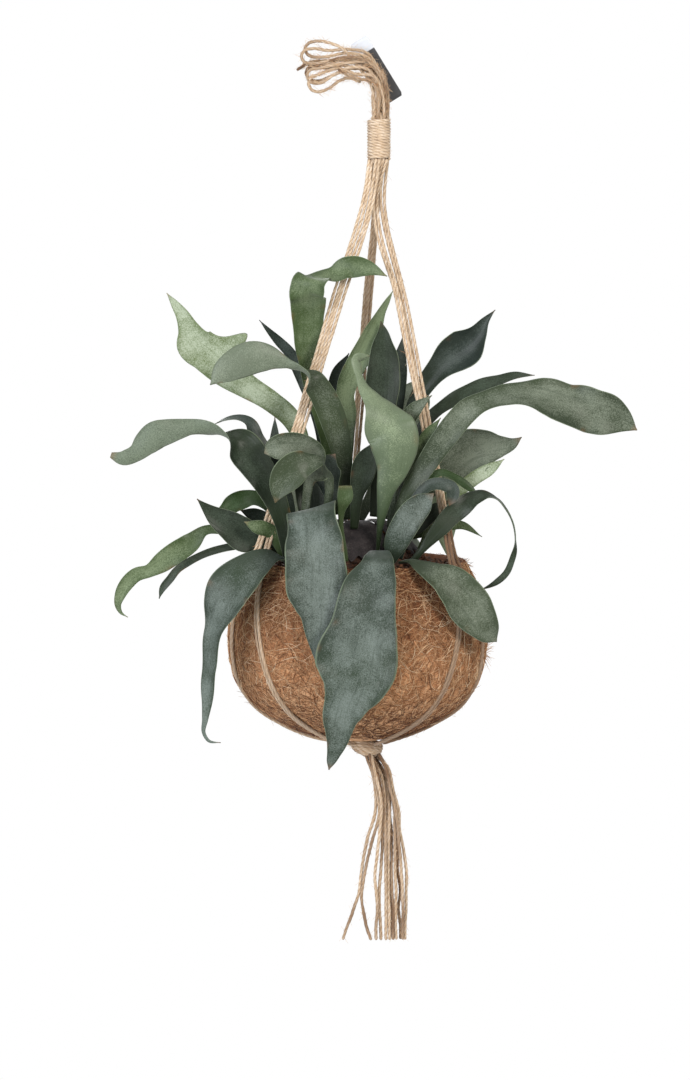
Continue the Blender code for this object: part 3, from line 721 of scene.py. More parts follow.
FRONDS: tuple[Frond, ...] = (
    Frond("upright_left_frond", Tone.MID_GREEN, "F F F F F F F F F F F F F FU U UF F F F", (-33, 8, 6.5), (
        (-38.5, 4, -258, 9), (-46.5, 0, -225.5, 10.5), (-54, -4, -197, 13.5), (-56, -8, -180, 16),
        (-57, -12, -160.5, 22.5), (-57, -19, -145, 25.5), (-56.5, -30, -130.5, 29),
        (-56, -41, -119, 30), (-53.5, -42, -112, 29.5), (-45.5, -33, -110, 23),
        (-35, -28, -108, 17), (-27, -28, -103, 17.5), (-18.5, -29, -101.5, 17),
        (-7, -30, -103, 11), (6.5, -31, -109, 0),
    ), ripple=0.05),
    Frond("sage_left_frond", Tone.SAGE, "F F F", (-49, 18, 7.5), (
        (-59.5, 14, -250.5, 11.5), (-71, 11, -224.5, 16), (-86, 8, -211.5, 17),
        (-105.5, 5, -199, 20), (-124, 1, -185.5, 26), (-137.5, -1, -172.5, 30),
        (-149, -2, -162.5, 30), (-153.5, -3, -151.5, 17.5), (-158.5, -4, -140, 10.5),
        (-164, -5, -132, 6.5), (-170.5, -6, -123, 0),
    ), cup=0.07, lobes=((0.7, -1, 20, 8),)),
    Frond("arching_left_frond", Tone.GREY_GREEN, "F F F F F F F F U B B B B B", (-26.5, -22, 8), (
        (-28, -30, -260, 13), (-32, -38, -238, 19), (-37.5, -44, -218.5, 21.5),
        (-45.5, -50, -201.5, 20.5), (-53.5, -57, -190, 19), (-59.5, -60, -184, 16),
        (-65.5, -61, -181, 10.5), (-71.5, -61.5, -178, 8), (-77, -62, -176, 12),
        (-86.5, -64, -173, 20), (-98.5, -66, -172, 25.5), (-113.5, -68, -177.5, 24),
        (-125.5, -69, -185.5, 16), (-134, -70, -194, 0),
    ), cup=0.08, ripple=0.06, fade=0.45, felt_loss=0.25),
    Frond("slender_left_frond", Tone.SLATE, "F F F", (-40, 36, 5.5), (
        (-52.5, 27, -219, 7.5), (-63.5, 24, -188, 11.5), (-72.5, 20, -171.5, 9),
        (-81.5, 19, -162, 7.5), (-89.5, 17, -153.5, 4), (-96.5, 16, -145.5, 0),
    ), ripple=0.16),
    Frond("long_left_frond", Tone.DARK_GREEN, "F F F F F U B B B B", (-71, -44, 9.5), (
        (-78, -54, -298.5, 16), (-85.5, -60, -279.5, 20.5), (-95.5, -64, -261, 25.5),
        (-106.5, -67, -245.5, 28), (-117.5, -69, -236, 25.5), (-128.5, -70, -231.5, 19),
        (-139, -71, -228, 13.5), (-148.5, -72, -227, 12.5), (-158, -73, -228.5, 16),
        (-168, -74, -231, 20.5), (-177.5, -75, -234, 23), (-184.5, -76, -239.5, 20.5),
        (-192.5, -77, -247.5, 13.5), (-203.5, -78, -251.5, 11), (-212.5, -78, -249, 4.5),
    ), ripple=0.1),
    Frond("low_grey_left_frond", Tone.SLATE, "F F FU U", (-65.5, -34, 6.5), (
        (-76, -48, -275, 9), (-87, -53, -254.5, 12), (-97, -54, -237, 12.5), (-105, -54, -224, 12),
        (-114, -54, -221, 10.5), (-122, -55, -222, 9), (-130.5, -56, -225.5, 0),
    ), ripple=0.1),
    Frond("cupped_left_frond", Tone.GREY_GREEN, "FU FU F F", (-61.5, -44, 6.5), (
        (-55, -55, -269, 9), (-50, -62, -251, 14.5), (-59, -74, -243.5, 20.5),
        (-70, -80, -242, 22), (-79.5, -83, -242.5, 20), (-86.5, -82, -245, 13.5),
        (-91, -81, -247.5, 0),
    ), cup=0.16, ripple=0.1, lobes=((0.52, -1, 9, 5),)),
    Frond("folded_left_frond", Tone.GREY_GREEN, "B B BU U FU F F F", (-46.5, -44, 6.5), (
        (-41.5, -64, -263.5, 8.5), (-46, -74, -253.5, 10.5), (-55.5, -82, -254.5, 17.5),
        (-64.5, -86, -257.5, 24.5), (-72, -87, -264.5, 26), (-78.5, -86, -274, 19),
        (-82.5, -85, -286.5, 0),
    ), ripple=0.1, felt_loss=0.5),
    Frond("broad_dark_frond", Tone.DARK_GREEN, "F F", (-55.5, -30, 9.5), (
        (-53.5, -30, -288, 25.5), (-55.5, -27, -272.5, 25.5), (-65, -20, -250, 0),
    ), ripple=0.05),
    Frond("stubby_slate_frond", Tone.SLATE, "F F F", (-37, -44, 6.5), (
        (-38.5, -46, -287, 9), (-40, -48, -275.5, 16), (-41.5, -50, -266, 22.5),
        (-40.5, -52, -258, 20.5), (-35, -54, -249.5, 0),
    ), cup=0.12),
    Frond("centre_dark_frond", Tone.DARK_GREEN, "F F F", (-20, -34, 6.5), (
        (-17.5, -38, -283.5, 11), (-13.5, -42, -267.5, 19), (-9.5, -46, -253.5, 17.5),
        (-4, -48, -240.5, 0),
    ), cup=0.12),
    Frond("young_centre_frond", Tone.MID_GREEN, "F F F", (-27, -62, 5), (
        (-29.5, -66, -292, 7), (-27, -68, -282.5, 12.5), (-27, -69, -274, 10.5),
    ), ripple=0.05, felt_loss=0.6),
    Frond("bright_left_frond", Tone.BRIGHT_GREEN, "U FU FU F", (-75.5, -20, 8), (
        (-89, -24, -292.5, 16), (-102, -28, -286.5, 17.5), (-113.5, -31, -289.5, 17),
        (-123.5, -34, -295, 11), (-130.5, -36, -296.5, 0),
    ), cup=0.12),
    Frond("dark_left_frond", Tone.DARK_GREEN, "FU F F F", (-76, -30, 8), (
        (-93.5, -33, -321, 17.5), (-107.5, -35, -316, 27), (-120, -37, -307.5, 24),
        (-130.5, -38, -300.5, 16), (-139, -39, -293, 7), (-145.5, -40, -286.5, 0),
    )),
    Frond("teal_left_frond", Tone.SLATE, "FU F", (-66.5, -4, 6.5), (
        (-91, -10, -305, 11.5), (-103, -12, -300.5, 9.5), (-111.5, -14, -297.5, 0),
    )),
    Frond("hooked_left_frond", Tone.MID_GREEN, "FU FU F F F", (-78, -14, 6.5), (
        (-107.5, -14, -316.5, 9.5), (-126, -15, -313.5, 9), (-140, -16, -314, 9),
        (-151, -18, -323, 15.5), (-163, -20, -331, 17.5), (-175, -21, -339.5, 16),
        (-185.5, -22, -346, 10.5), (-194.5, -23, -348.5, 11.5), (-202.5, -24, -355.5, 11.5),
        (-208, -26, -365, 9), (-209.5, -28, -373.5, 5), (-207, -29, -379, 2.5),
        (-201.5, -30, -382.5, 0),
    )),
    Frond("thin_left_frond", Tone.DARK_GREEN, "FU FU F", (-79.5, -24, 5), (
        (-103.5, -26, -324.5, 7), (-118.5, -28, -326, 8), (-131.5, -31, -329, 8),
        (-143.5, -35, -333, 7), (-153.5, -38, -338, 7), (-161.5, -41, -343.5, 6.5),
        (-167, -42, -350.5, 6.5), (-173, -42, -358, 5.5), (-176, -42, -366.5, 0),
    ), cup=0.14, ripple=0.05),
    Frond("drooping_left_frond", Tone.BLUE_GREY, "U UF UF FL FL F F", (-71, -56, 11), (
        (-85, -66, -330, 19), (-98, -74, -336, 28.5), (-109.5, -80, -344, 35.5),
        (-119, -83, -356, 39), (-126, -84, -370, 33.5), (-130, -83, -385.5, 22),
        (-133.5, -82, -401.5, 19), (-135, -80, -417.5, 16.5), (-136, -79, -432.5, 13.5),
        (-137, -78, -447, 8.5), (-138.5, -77, -460, 5), (-139.5, -76, -470.5, 3),
        (-135.5, -75.5, -477, 2.5), (-126, -75, -478.5, 0),
    ), cup=0.06, ripple=0.07),
    Frond("front_left_frond", Tone.BLUE_GREY, "B BBU UUUUL UUFL F F F F F", (-48.5, -57, 16), (
        (-52, -65, -299, 35), (-53.5, -79, -291, 39.5), (-53, -92, -295, 40.5),
        (-52.5, -99, -305.5, 44), (-51.5, -103, -318.5, 47), (-50.5, -106, -331.5, 48),
        (-50, -107, -344, 49), (-51, -108, -354.5, 45), (-50, -108.5, -364, 36),
        (-49, -109, -373.5, 27.5), (-50, -109, -385, 19), (-50, -108.5, -398.5, 10),
        (-49.5, -108, -413, 0),
    ), cup=0.06, ripple=0.05),
    Frond("front_centre_frond", Tone.BLUE_GREY, "U U UF F F F F F", (-1.5, -60, 6.5), (
        (0, -74, -326.5, 14.5), (-0.5, -92, -328, 20.5), (-2, -106, -333.5, 27),
        (-5, -113, -343, 37), (-8.5, -118, -356, 43), (-11.5, -121, -371.5, 48),
        (-14.5, -122, -388.5, 56.5), (-17, -122, -404.5, 63.5), (-18.5, -121.5, -417, 62),
        (-21.5, -121, -429, 53.5), (-26.5, -119, -441, 37.5), (-30.5, -117, -452.5, 30),
        (-32, -114, -464, 22), (-33.5, -111, -473.5, 16.5), (-36, -107, -483, 11),
        (-38.5, -104, -491, 6.5), (-40, -102, -497, 0),
    ), cup=0.06, ripple=0.05),
    Frond("front_right_frond", Tone.GREY_GREEN, "U UF F F", (16.5, -60, 4), (
        (25, -71, -334, 6.5), (34, -81, -337.5, 16), (43, -86, -342, 21.5),
        (53.5, -88, -348, 28.5), (63, -89, -357, 33), (70, -88, -366.5, 35),
        (76.5, -84, -376.5, 31.5), (83, -79, -385.5, 24.5), (89, -73, -393.5, 14.5),
        (93.5, -68, -398.5, 0),
    ), cup=0.08, ripple=0.05),
    Frond("hooked_right_frond", Tone.DARK_GREEN, "F F F F FU RU RU RU F F F", (26, -54, 5), (
        (33.5, -56, -327, 5.5), (40.5, -57, -318, 9.5), (48.5, -58, -308.5, 13.5),
        (57, -57, -299, 16), (67, -56, -291, 16.5), (76.5, -55, -285, 15), (86, -54, -282.5, 13.5),
        (94.5, -54, -285.5, 12.5), (101, -54, -293.5, 9.5), (106, -54, -303, 7),
        (108.5, -54, -313.5, 6.5), (108.5, -54, -324, 5), (106, -53, -334.5, 5),
        (101.5, -52, -345, 5.5), (94, -52, -352, 5), (87, -52, -356, 2.5), (80.5, -52, -358.5, 0),
    ), cup=0.08),
    Frond("thin_right_frond", Tone.BRIGHT_GREEN, "FU FU", (18.5, -40, 5), (
        (28.5, -50, -284.5, 6.5), (39, -52, -270.5, 7), (49.5, -51, -265, 8),
        (59.5, -49, -268.5, 8), (69.5, -48, -275.5, 8), (80.5, -48, -284.5, 0),
    ), cup=0.12, ripple=0.05),
    Frond("grey_curl_right_frond", Tone.SLATE, "FU FU F", (16.5, -50, 5), (
        (30, -60, -284.5, 9.5), (40.5, -63, -274.5, 11), (50.5, -65, -273.5, 11),
        (58, -65, -277.5, 11), (58, -64, -284, 9.5), (55.5, -63, -290.5, 0),
    ), cup=0.2, ripple=0.05),
    Frond("great_right_frond", Tone.GREY_GREEN, "FL FL F F FU FU F F", (5, -44, 6.5), (
        (16, -50, -296.5, 11), (26, -53, -276, 14.5), (36.5, -56, -259, 16.5),
        (48.5, -59, -240.5, 19), (60, -61, -225.5, 20), (73, -63, -212.5, 19),
        (88.5, -63, -205.5, 19), (105.5, -62, -201.5, 24), (120.5, -60, -202.5, 30),
        (135.5, -58, -205.5, 38), (151.5, -56, -211.5, 37.5), (167.5, -54, -214.5, 36.5),
        (182, -53, -218.5, 32.5), (193.5, -51.5, -223.5, 20.5), (205.5, -50, -231, 0),
    ), cup=0.08, ripple=0.09, fade=0.5),
    Frond("dark_back_right_frond", Tone.DARK_GREEN, "FU FU", (15.5, -4, 6.5), (
        (28.5, -8, -241.5, 9.5), (44.5, -14, -220, 12), (62, -19, -207.5, 14.5),
        (78.5, -23, -198.5, 15), (95.5, -26, -193, 12), (109.5, -29, -188.5, 8),
        (124.5, -32, -188, 0),
    ), ripple=0.05),
    # Its felt is thickened: painted light where other fronds shade it.
    Frond("broad_right_frond", Tone.GREY_GREEN, "FU F F F", (17, -12, 6.5), (
        (30.5, -14, -291, 13), (44.5, -16, -273, 24), (58, -18, -261.5, 35.5),
        (73, -20, -251, 38.5), (87.5, -22, -246, 29), (98, -23, -245, 17.5), (107, -23, -243, 9.5),
        (114.5, -24, -238, 0),
    ), ripple=0.14, felt_loss=-0.5),
    Frond("two_tone_right_frond", Tone.SLATE, "FL F F F", (11, 10, 7.5), (
        (20.5, 8, -242, 11.5), (28.5, 4, -213.5, 12), (38, 1, -196.5, 15.5),
        (49.5, -2, -182.5, 20), (61.5, -4, -171.5, 30.5), (71, -5, -165, 30.5), (79, -6, -156, 17),
        (85.5, -7, -145.5, 7), (93.5, -8, -136.5, 0),
    ), cup=0.3, felt_loss=0.4),
    # Its long fade paints shade on the lower blade.
    Frond("pale_centre_frond", Tone.LIGHT_GREEN, "B B B B B BL BL BU", (-1, -48, 3), (
        (0.5, -53, -310.5, 5), (3, -58, -292.5, 9.5), (6, -61, -276.5, 16), (11, -63, -260.5, 27),
        (12.5, -64, -246, 37.5), (11.5, -64, -235, 40.5), (7, -63, -225.5, 39),
        (1.5, -61, -215, 31), (-5, -59, -205.5, 19), (-11.5, -56, -197, 12.5),
        (-15.5, -53, -187.5, 8.5), (-17.5, -51, -180.5, 9), (-17.5, -49, -174.5, 10.5),
        (-13, -46, -173, 7), (-7.5, -44, -172, 1),
    ), cup=0.08, ripple=0.04, fade=0.8),
    Frond("dark_centre_frond", Tone.DARK_GREEN, "F F F", (-4, -14, 7), (
        (1, -16, -257, 14.5), (2.5, -18, -228.5, 19.5), (2.5, -19, -208.5, 25),
        (3.5, -20, -192.5, 28), (4, -21, -178, 25), (3, -22, -164, 17), (3, -23, -154, 9),
        (1.5, -24, -145, 0),
    ), cup=0.14, ripple=0.06),
    Frond("light_centre_frond", Tone.MID_GREEN, "F F FR", (-21.5, -10, 6.5), (
        (-26.5, -10, -265.5, 10.5), (-25.5, -12, -234, 12), (-25.5, -12.5, -218.5, 14.5),
        (-27, -13, -204.5, 14.5), (-24, -14, -191, 17), (-18.5, -15, -179.5, 17.5),
        (-12, -17, -167.5, 19.5), (-5.5, -19, -153, 16), (1, -21, -138.5, 9.5), (7, -23, -128, 5),
        (11, -24, -121, 0),
    ), cup=0.16, felt_loss=-0.6),
    Frond("right_back_frond", Tone.SLATE, "F F", (7.5, 20, 5.5), (
        (11, 16, -242.5, 9), (14, 14, -207, 14.5), (16.5, 12, -183.5, 13.5), (19.5, 10, -158, 0),
    ), ripple=0.05),
    Frond("short_right_frond", Tone.GREY_GREEN, "F F", (9, -24, 5.5), (
        (13.5, -30, -264, 9), (18.5, -40, -231.5, 11), (28, -48, -215, 12), (42, -52, -203, 0),
    ), ripple=0.05),
    Frond("teal_right_frond", Tone.BLUE_GREY, "F F F", (9.5, -62, 6.5), (
        (12.5, -67, -322, 17.5), (19, -70, -307, 22), (27, -70, -295, 21.5), (35.5, -69, -287, 16),
        (43.5, -69, -280, 0),
    ), cup=0.08, ripple=0.1),
    Frond("dark_teal_right_frond", Tone.DARK_GREEN, "F F", (13.5, -28, 6.5), (
        (26.5, -28, -312.5, 11), (39.5, -27, -301, 13.5), (49, -26, -294, 9.5),
        (57, -26, -288.5, 0),
    ), ripple=0.05),
)

# Small fronds between the others, too slight for nodes of their own.
SMALL_FRONDS: tuple[Frond, ...] = (
    Frond("left_spike_frond", Tone.SLATE, "F F", (-76, -18, 6.5), (
        (-82, -20, -258, 12), (-83.5, -20, -243, 9.5), (-83.5, -20, -232.5, 5.5),
        (-83.5, -20, -222, 0),
    ), ripple=0.05, stands_for_node=False),
    Frond("small_left_frond", Tone.MID_GREEN, "F F", (-75, -38, 5), (
        (-88.5, -46, -311, 12), (-99, -50, -307.5, 10.5), (-107.5, -52, -304, 0),
    ), ripple=0.05, stands_for_node=False),
    Frond("pale_under_frond", Tone.SAGE, "F F", (33, -20, 5), (
        (55.5, -23, -286, 9), (67.5, -24, -278, 10.5), (78, -25, -270, 11), (89, -25, -263.5, 9.5),
        (100.5, -26, -255.5, 0),
    ), ripple=0.05, stands_for_node=False),
    Frond("slate_back_frond", Tone.SLATE, "F F", (-30.5, 16, 5.5), (
        (-34.5, 14, -234.5, 8), (-36, 12, -206, 12), (-32, 11, -187.5, 11.5), (-24, 10, -172, 0),
    ), ripple=0.05, stands_for_node=False),
    Frond("little_right_frond", Tone.MID_GREEN, "F F", (25, -14, 4), (
        (47.5, -16, -313.5, 6.5), (65.5, -18, -309, 7), (83, -20, -318.5, 0),
    ), ripple=0.05, stands_for_node=False),
    Frond("brown_tip_frond", Tone.MID_GREEN, "F F", (17, -36, 5), (
        (28, -44, -255, 7), (39, -50, -234, 9), (49, -52, -221, 0),
    ), ripple=0.05, stands_for_node=False),
)

# Guessed fronds of the far side, which droop and stand as the near ones do.
BACK_FRONDS: tuple[Frond, ...] = (
    Frond("back_left_frond", Tone.GREY_GREEN, "RB UB UB B", (-52, 24, 8), (
        (-58, 46, -290, 16), (-66, 70, -268, 30), (-72, 94, -278, 36), (-76, 110, -310, 26),
        (-78, 116, -346, 0),
    ), ripple=0.12),
    Frond("back_drooping_frond", Tone.BLUE_GREY, "U U B B", (0, 40, 10), (
        (6, 66, -318, 22), (14, 96, -328, 36), (18, 115, -362, 48), (20, 120, -402, 44),
        (18, 112, -444, 24), (14, 104, -474, 0),
    ), cup=0.08, ripple=0.1),
    Frond("back_right_frond", Tone.MID_GREEN, "LB UB UB B", (12, 26, 8), (
        (22, 48, -290, 16), (34, 72, -266, 32), (46, 96, -276, 38), (54, 110, -310, 28),
        (58, 116, -346, 0),
    ), ripple=0.12),
    Frond("back_leaning_frond", Tone.GREY_GREEN, "F F UF", (-16, 32, 8), (
        (2, 52, -276, 14), (16, 70, -240, 28), (26, 88, -212, 34), (32, 108, -198, 0),
    ), ripple=0.1),
)


@dataclass
class Foliage:
    """The fern's foliage fronds: leathery ribbons that swell, narrow and ripple along their length."""

    ball_x: float = -17.0
    medium_level: float = -343.0
    hump_height: float = 34.0
    hump_radius: float = 46.0
    root_lift: float = 7.0
    ring: int = 36
    row_mm: float = 1.9
    blade_mm: float = 1.1
    stalk_mm: float = 3.0
    finishes: dict[Tone, bpy.types.Material] = field(default_factory=dict)

    def hump(self, x: float, y: float) -> float:
        """Height of the growing medium: its level plus a hump that falls off as exp(-out^4)."""
        out = math.hypot(x - self.ball_x, y)
        return self.medium_level + self.hump_height * math.exp(-((out / self.hump_radius) ** 4))

    def line(self, frond: Frond) -> Array:
        """The frond's midline and widths, from just above the clump to the tip.

        Args:
            frond: the frond.

        Returns:
            Even rows of x, y, z and width.
        """
        x, y, width = frond.root
        height = max(self.hump(x + step * width / 2, y) for step in (-1, 0, 1)) + self.root_lift
        path = ((x, y, height, width), *frond.path)
        length = path_length(np.array(path))
        return smooth_path(path, int(np.clip(length / self.row_mm, 40, 190)))

    def shape(self, frond: Frond, seed: int) -> tuple[Array, dict[str, Array]]:
        """The closed skin of a frond as rings around its midline.

        A ring's point at angle a sits at v across, a blend of cos a and the straight zigzag of
        the same period, and above or below the blade by half the thickness times the root of
        1 - v^2. The blade itself is raised by its cup, which grows as v^2, by a wave along each
        rim that grows as |v|^2.2, and by slow noise.

        Args:
            frond: the frond.
            seed: picks its waves and noise.

        Returns:
            The points, ring by ring, and the numbers that its finish reads.
        """
        random = np.random.default_rng(seed)
        line = self.line(frond)
        middle, rows = line[:, :3], len(line)
        steps = np.linalg.norm(np.diff(middle, axis=0), axis=1)
        along = np.concatenate(([0.0], np.cumsum(steps)))
        forward = unit(np.gradient(middle, axis=0))
        looks = np.array([
            np.sum([DIRECTIONS[letter] for letter in word], axis=0) for word in frond.facing.split()
        ], dtype=float)
        share = np.linspace(0, len(looks) - 1, rows)
        up = np.stack([np.interp(share, range(len(looks)), looks[:, axis]) for axis in range(3)], 1)
        up = unit(up - forward * np.sum(up * forward, axis=1, keepdims=True))
        side = np.cross(up, forward)
        angle = TAU * np.arange(self.ring) / self.ring
        zigzag = np.interp(angle, [0, math.pi, TAU], [1.0, -1.0, 1.0])
        across = 0.5 * np.cos(angle) + 0.5 * zigzag
        upper = np.sign(np.round(np.sin(angle), 9))
        half = np.maximum(line[:, 3], 0.7)[:, None] / 2
        drift = np.stack([along, np.full(rows, seed * 7.3), np.zeros(rows)], axis=1)
        wobble = np.stack([noise(drift, 17.0, seed + 1), noise(drift, 17.0, seed + 2)])
        half = half * (1 + 0.05 * np.where(across > 0, wobble[0][:, None], wobble[1][:, None]))
        for spot, flank, height, breadth in frond.lobes:
            bump = height * np.exp(-(((along - spot * along[-1]) / breadth) ** 2))[:, None]
            half = half + bump * (across * flank > 0) * np.abs(across) ** 2
        waves = random.uniform(26, 44, 2)
        phases = random.uniform(0, TAU, 2)
        wave = np.where(
            across > 0,
            np.sin(TAU * along / waves[0] + phases[0])[:, None],
            np.sin(TAU * along / waves[1] + phases[1])[:, None],
        )
        fade = np.clip(along / 40.0, 0, 1)[:, None]
        raised = 2 * frond.cup * half * (across**2 - 0.4)
        raised = raised + frond.ripple * half * fade * np.abs(across) ** 2.2 * wave
        thick = self.blade_mm + self.stalk_mm * np.exp(-((along / 42.0) ** 2))[:, None]
        thick = np.minimum(thick, 1.3 * half)
        skin = upper * thick / 2 * np.sqrt(np.clip(1 - across**2, 0, 1))
        flat = middle[:, None] + side[:, None] * (across * half)[..., None]
        raised = raised + 0.5 * noise(flat, 20.0, seed + 5) * np.clip(half / 8.0, 0, 1)
        points = flat + up[:, None] * (raised + skin)[..., None]
        full = np.ones((rows, self.ring))
        end = along[-1] - along[:, None]
        spots = np.clip(noise(points, 7.0, seed + 9) * 2.2 - 1.25, 0, 1) * np.abs(across) ** 6
        tip = np.clip(1.2 - end / random.uniform(2.0, 6.0), 0, 1) * random.uniform(0.0, 0.45)
        # Near the root the felt is thinned: partly wear, partly painted shade on the folds by the root; a
        # frond's felt loss adds to it.
        bare = np.exp(-((along / np.clip(along[-1] * frond.fade, 25, 120)) ** 2))
        values = {
            "across": full * across,
            "sideways": across * half,
            "lengthways": full * along[:, None],
            "upper": full * (upper + 1) / 2,
            "tint": np.clip(0.5 + 0.5 * noise(points, 38.0, seed + 3), 0, 1),
            "stalk": full * np.clip(bare + frond.felt_loss, -1, 1)[:, None],
            "browning": np.clip(spots * 0.6 + tip, 0, 0.9),
        }
        return points.reshape(-1, 3), {key: value.reshape(-1) for key, value in values.items()}

    def build(self) -> None:
        """Builds and dresses every frond."""
        for number, frond in enumerate((*FRONDS, *SMALL_FRONDS, *BACK_FRONDS)):
            points, values = self.shape(frond, 100 + 13 * number)
            quads, caps = grid_faces(len(points) // self.ring, self.ring)
            piece = make_mesh(f"{frond.name}_blade", points, [quads, caps], values)
            if frond.tone not in self.finishes:
                self.finishes[frond.tone] = FROND_FINISHES[frond.tone].material()
            nodes = (frond.name,) if frond.stands_for_node else ()
            place(piece, frond.tone.value, self.finishes[frond.tone], nodes)


@dataclass
class ShieldFronds:
    """The dead shield fronds that clasp the clump: lobed brown plates, each a closed thin shell."""

    shields: tuple[tuple[str, Row, float, float], ...] = (
        ("shield_frond_near", (236, 306), 55.0, 2.0),
        ("shield_frond_left", (128, 232), 52.0, 1.0),
        ("shield_frond_right", (310, 404), 52.0, 1.0),
    )
    inner: float = 9.0
    lift: float = 2.4
    thickness: float = 1.2
    rows: int = 46
    ring: int = 96

    def shape(self, turns: Row, reach: float, bulge: float, seed: int) -> Array:
        """A plate between two compass turns, from the clump's middle out.

        Its outer reach is cut back by a squared cosine with three lobes and by v^2, its middle
        swells as (1 - v^2) sin(pi u), and slow noise makes it papery.

        Args:
            turns: first and last compass turn, in degrees.
            reach: how far out it goes.
            bulge: how far its middle swells.
            seed: picks its crumpling.

        Returns:
            The closed skin's points, ring by ring.
        """
        foliage = Foliage()
        angle = TAU * np.arange(self.ring) / self.ring
        across = np.interp(angle, [0, math.pi, TAU], [1.0, -1.0, 1.0])[None, :]
        upper = np.sign(np.round(np.sin(angle), 9))[None, :]
        along = np.linspace(0, 1, self.rows)[:, None]
        turn = np.radians(turns[0] + (turns[1] - turns[0]) * (across + 1) / 2)
        lobes = 1 - 0.10 * np.cos(3 * math.pi * across) ** 2 - 0.12 * across**2
        out = self.inner + (reach * lobes - self.inner) * along
        spread = foliage.hump_height * np.exp(-((out / foliage.hump_radius) ** 4))
        height = foliage.medium_level + spread + self.lift
        swell = bulge * (1 - across**2) * np.sin(math.pi * along)
        base = np.stack([
            foliage.ball_x + out * np.cos(turn), out * np.sin(turn), height,
        ], axis=-1)
        lean = unit(np.stack([np.cos(turn), np.sin(turn), np.full_like(turn, 0.8)], -1) + 0 * base)
        edge = np.sqrt(np.clip(1 - across**8, 0, 1)) * np.sqrt(np.clip(1 - (2 * along - 1) ** 16, 0, 1))
        skin = upper * self.thickness / 2 * edge
        crumple = 0.5 + 0.5 * noise(base, 9.0, seed)
        return (base + lean * (swell + skin + crumple)[..., None]).reshape(-1, 3)

    def build(self) -> None:
        """Builds and dresses the three plates."""
        finish = ShieldFinish().material()
        for number, (name, turns, reach, bulge) in enumerate(self.shields):
            points = self.shape(turns, reach, bulge, 700 + number)
            quads, caps = grid_faces(self.rows, self.ring)
            place(make_mesh(f"{name}_plate", points, [quads, caps]), "shield_frond", finish, (name,))


# ---------------------------------------------------------------- coir ball and compost


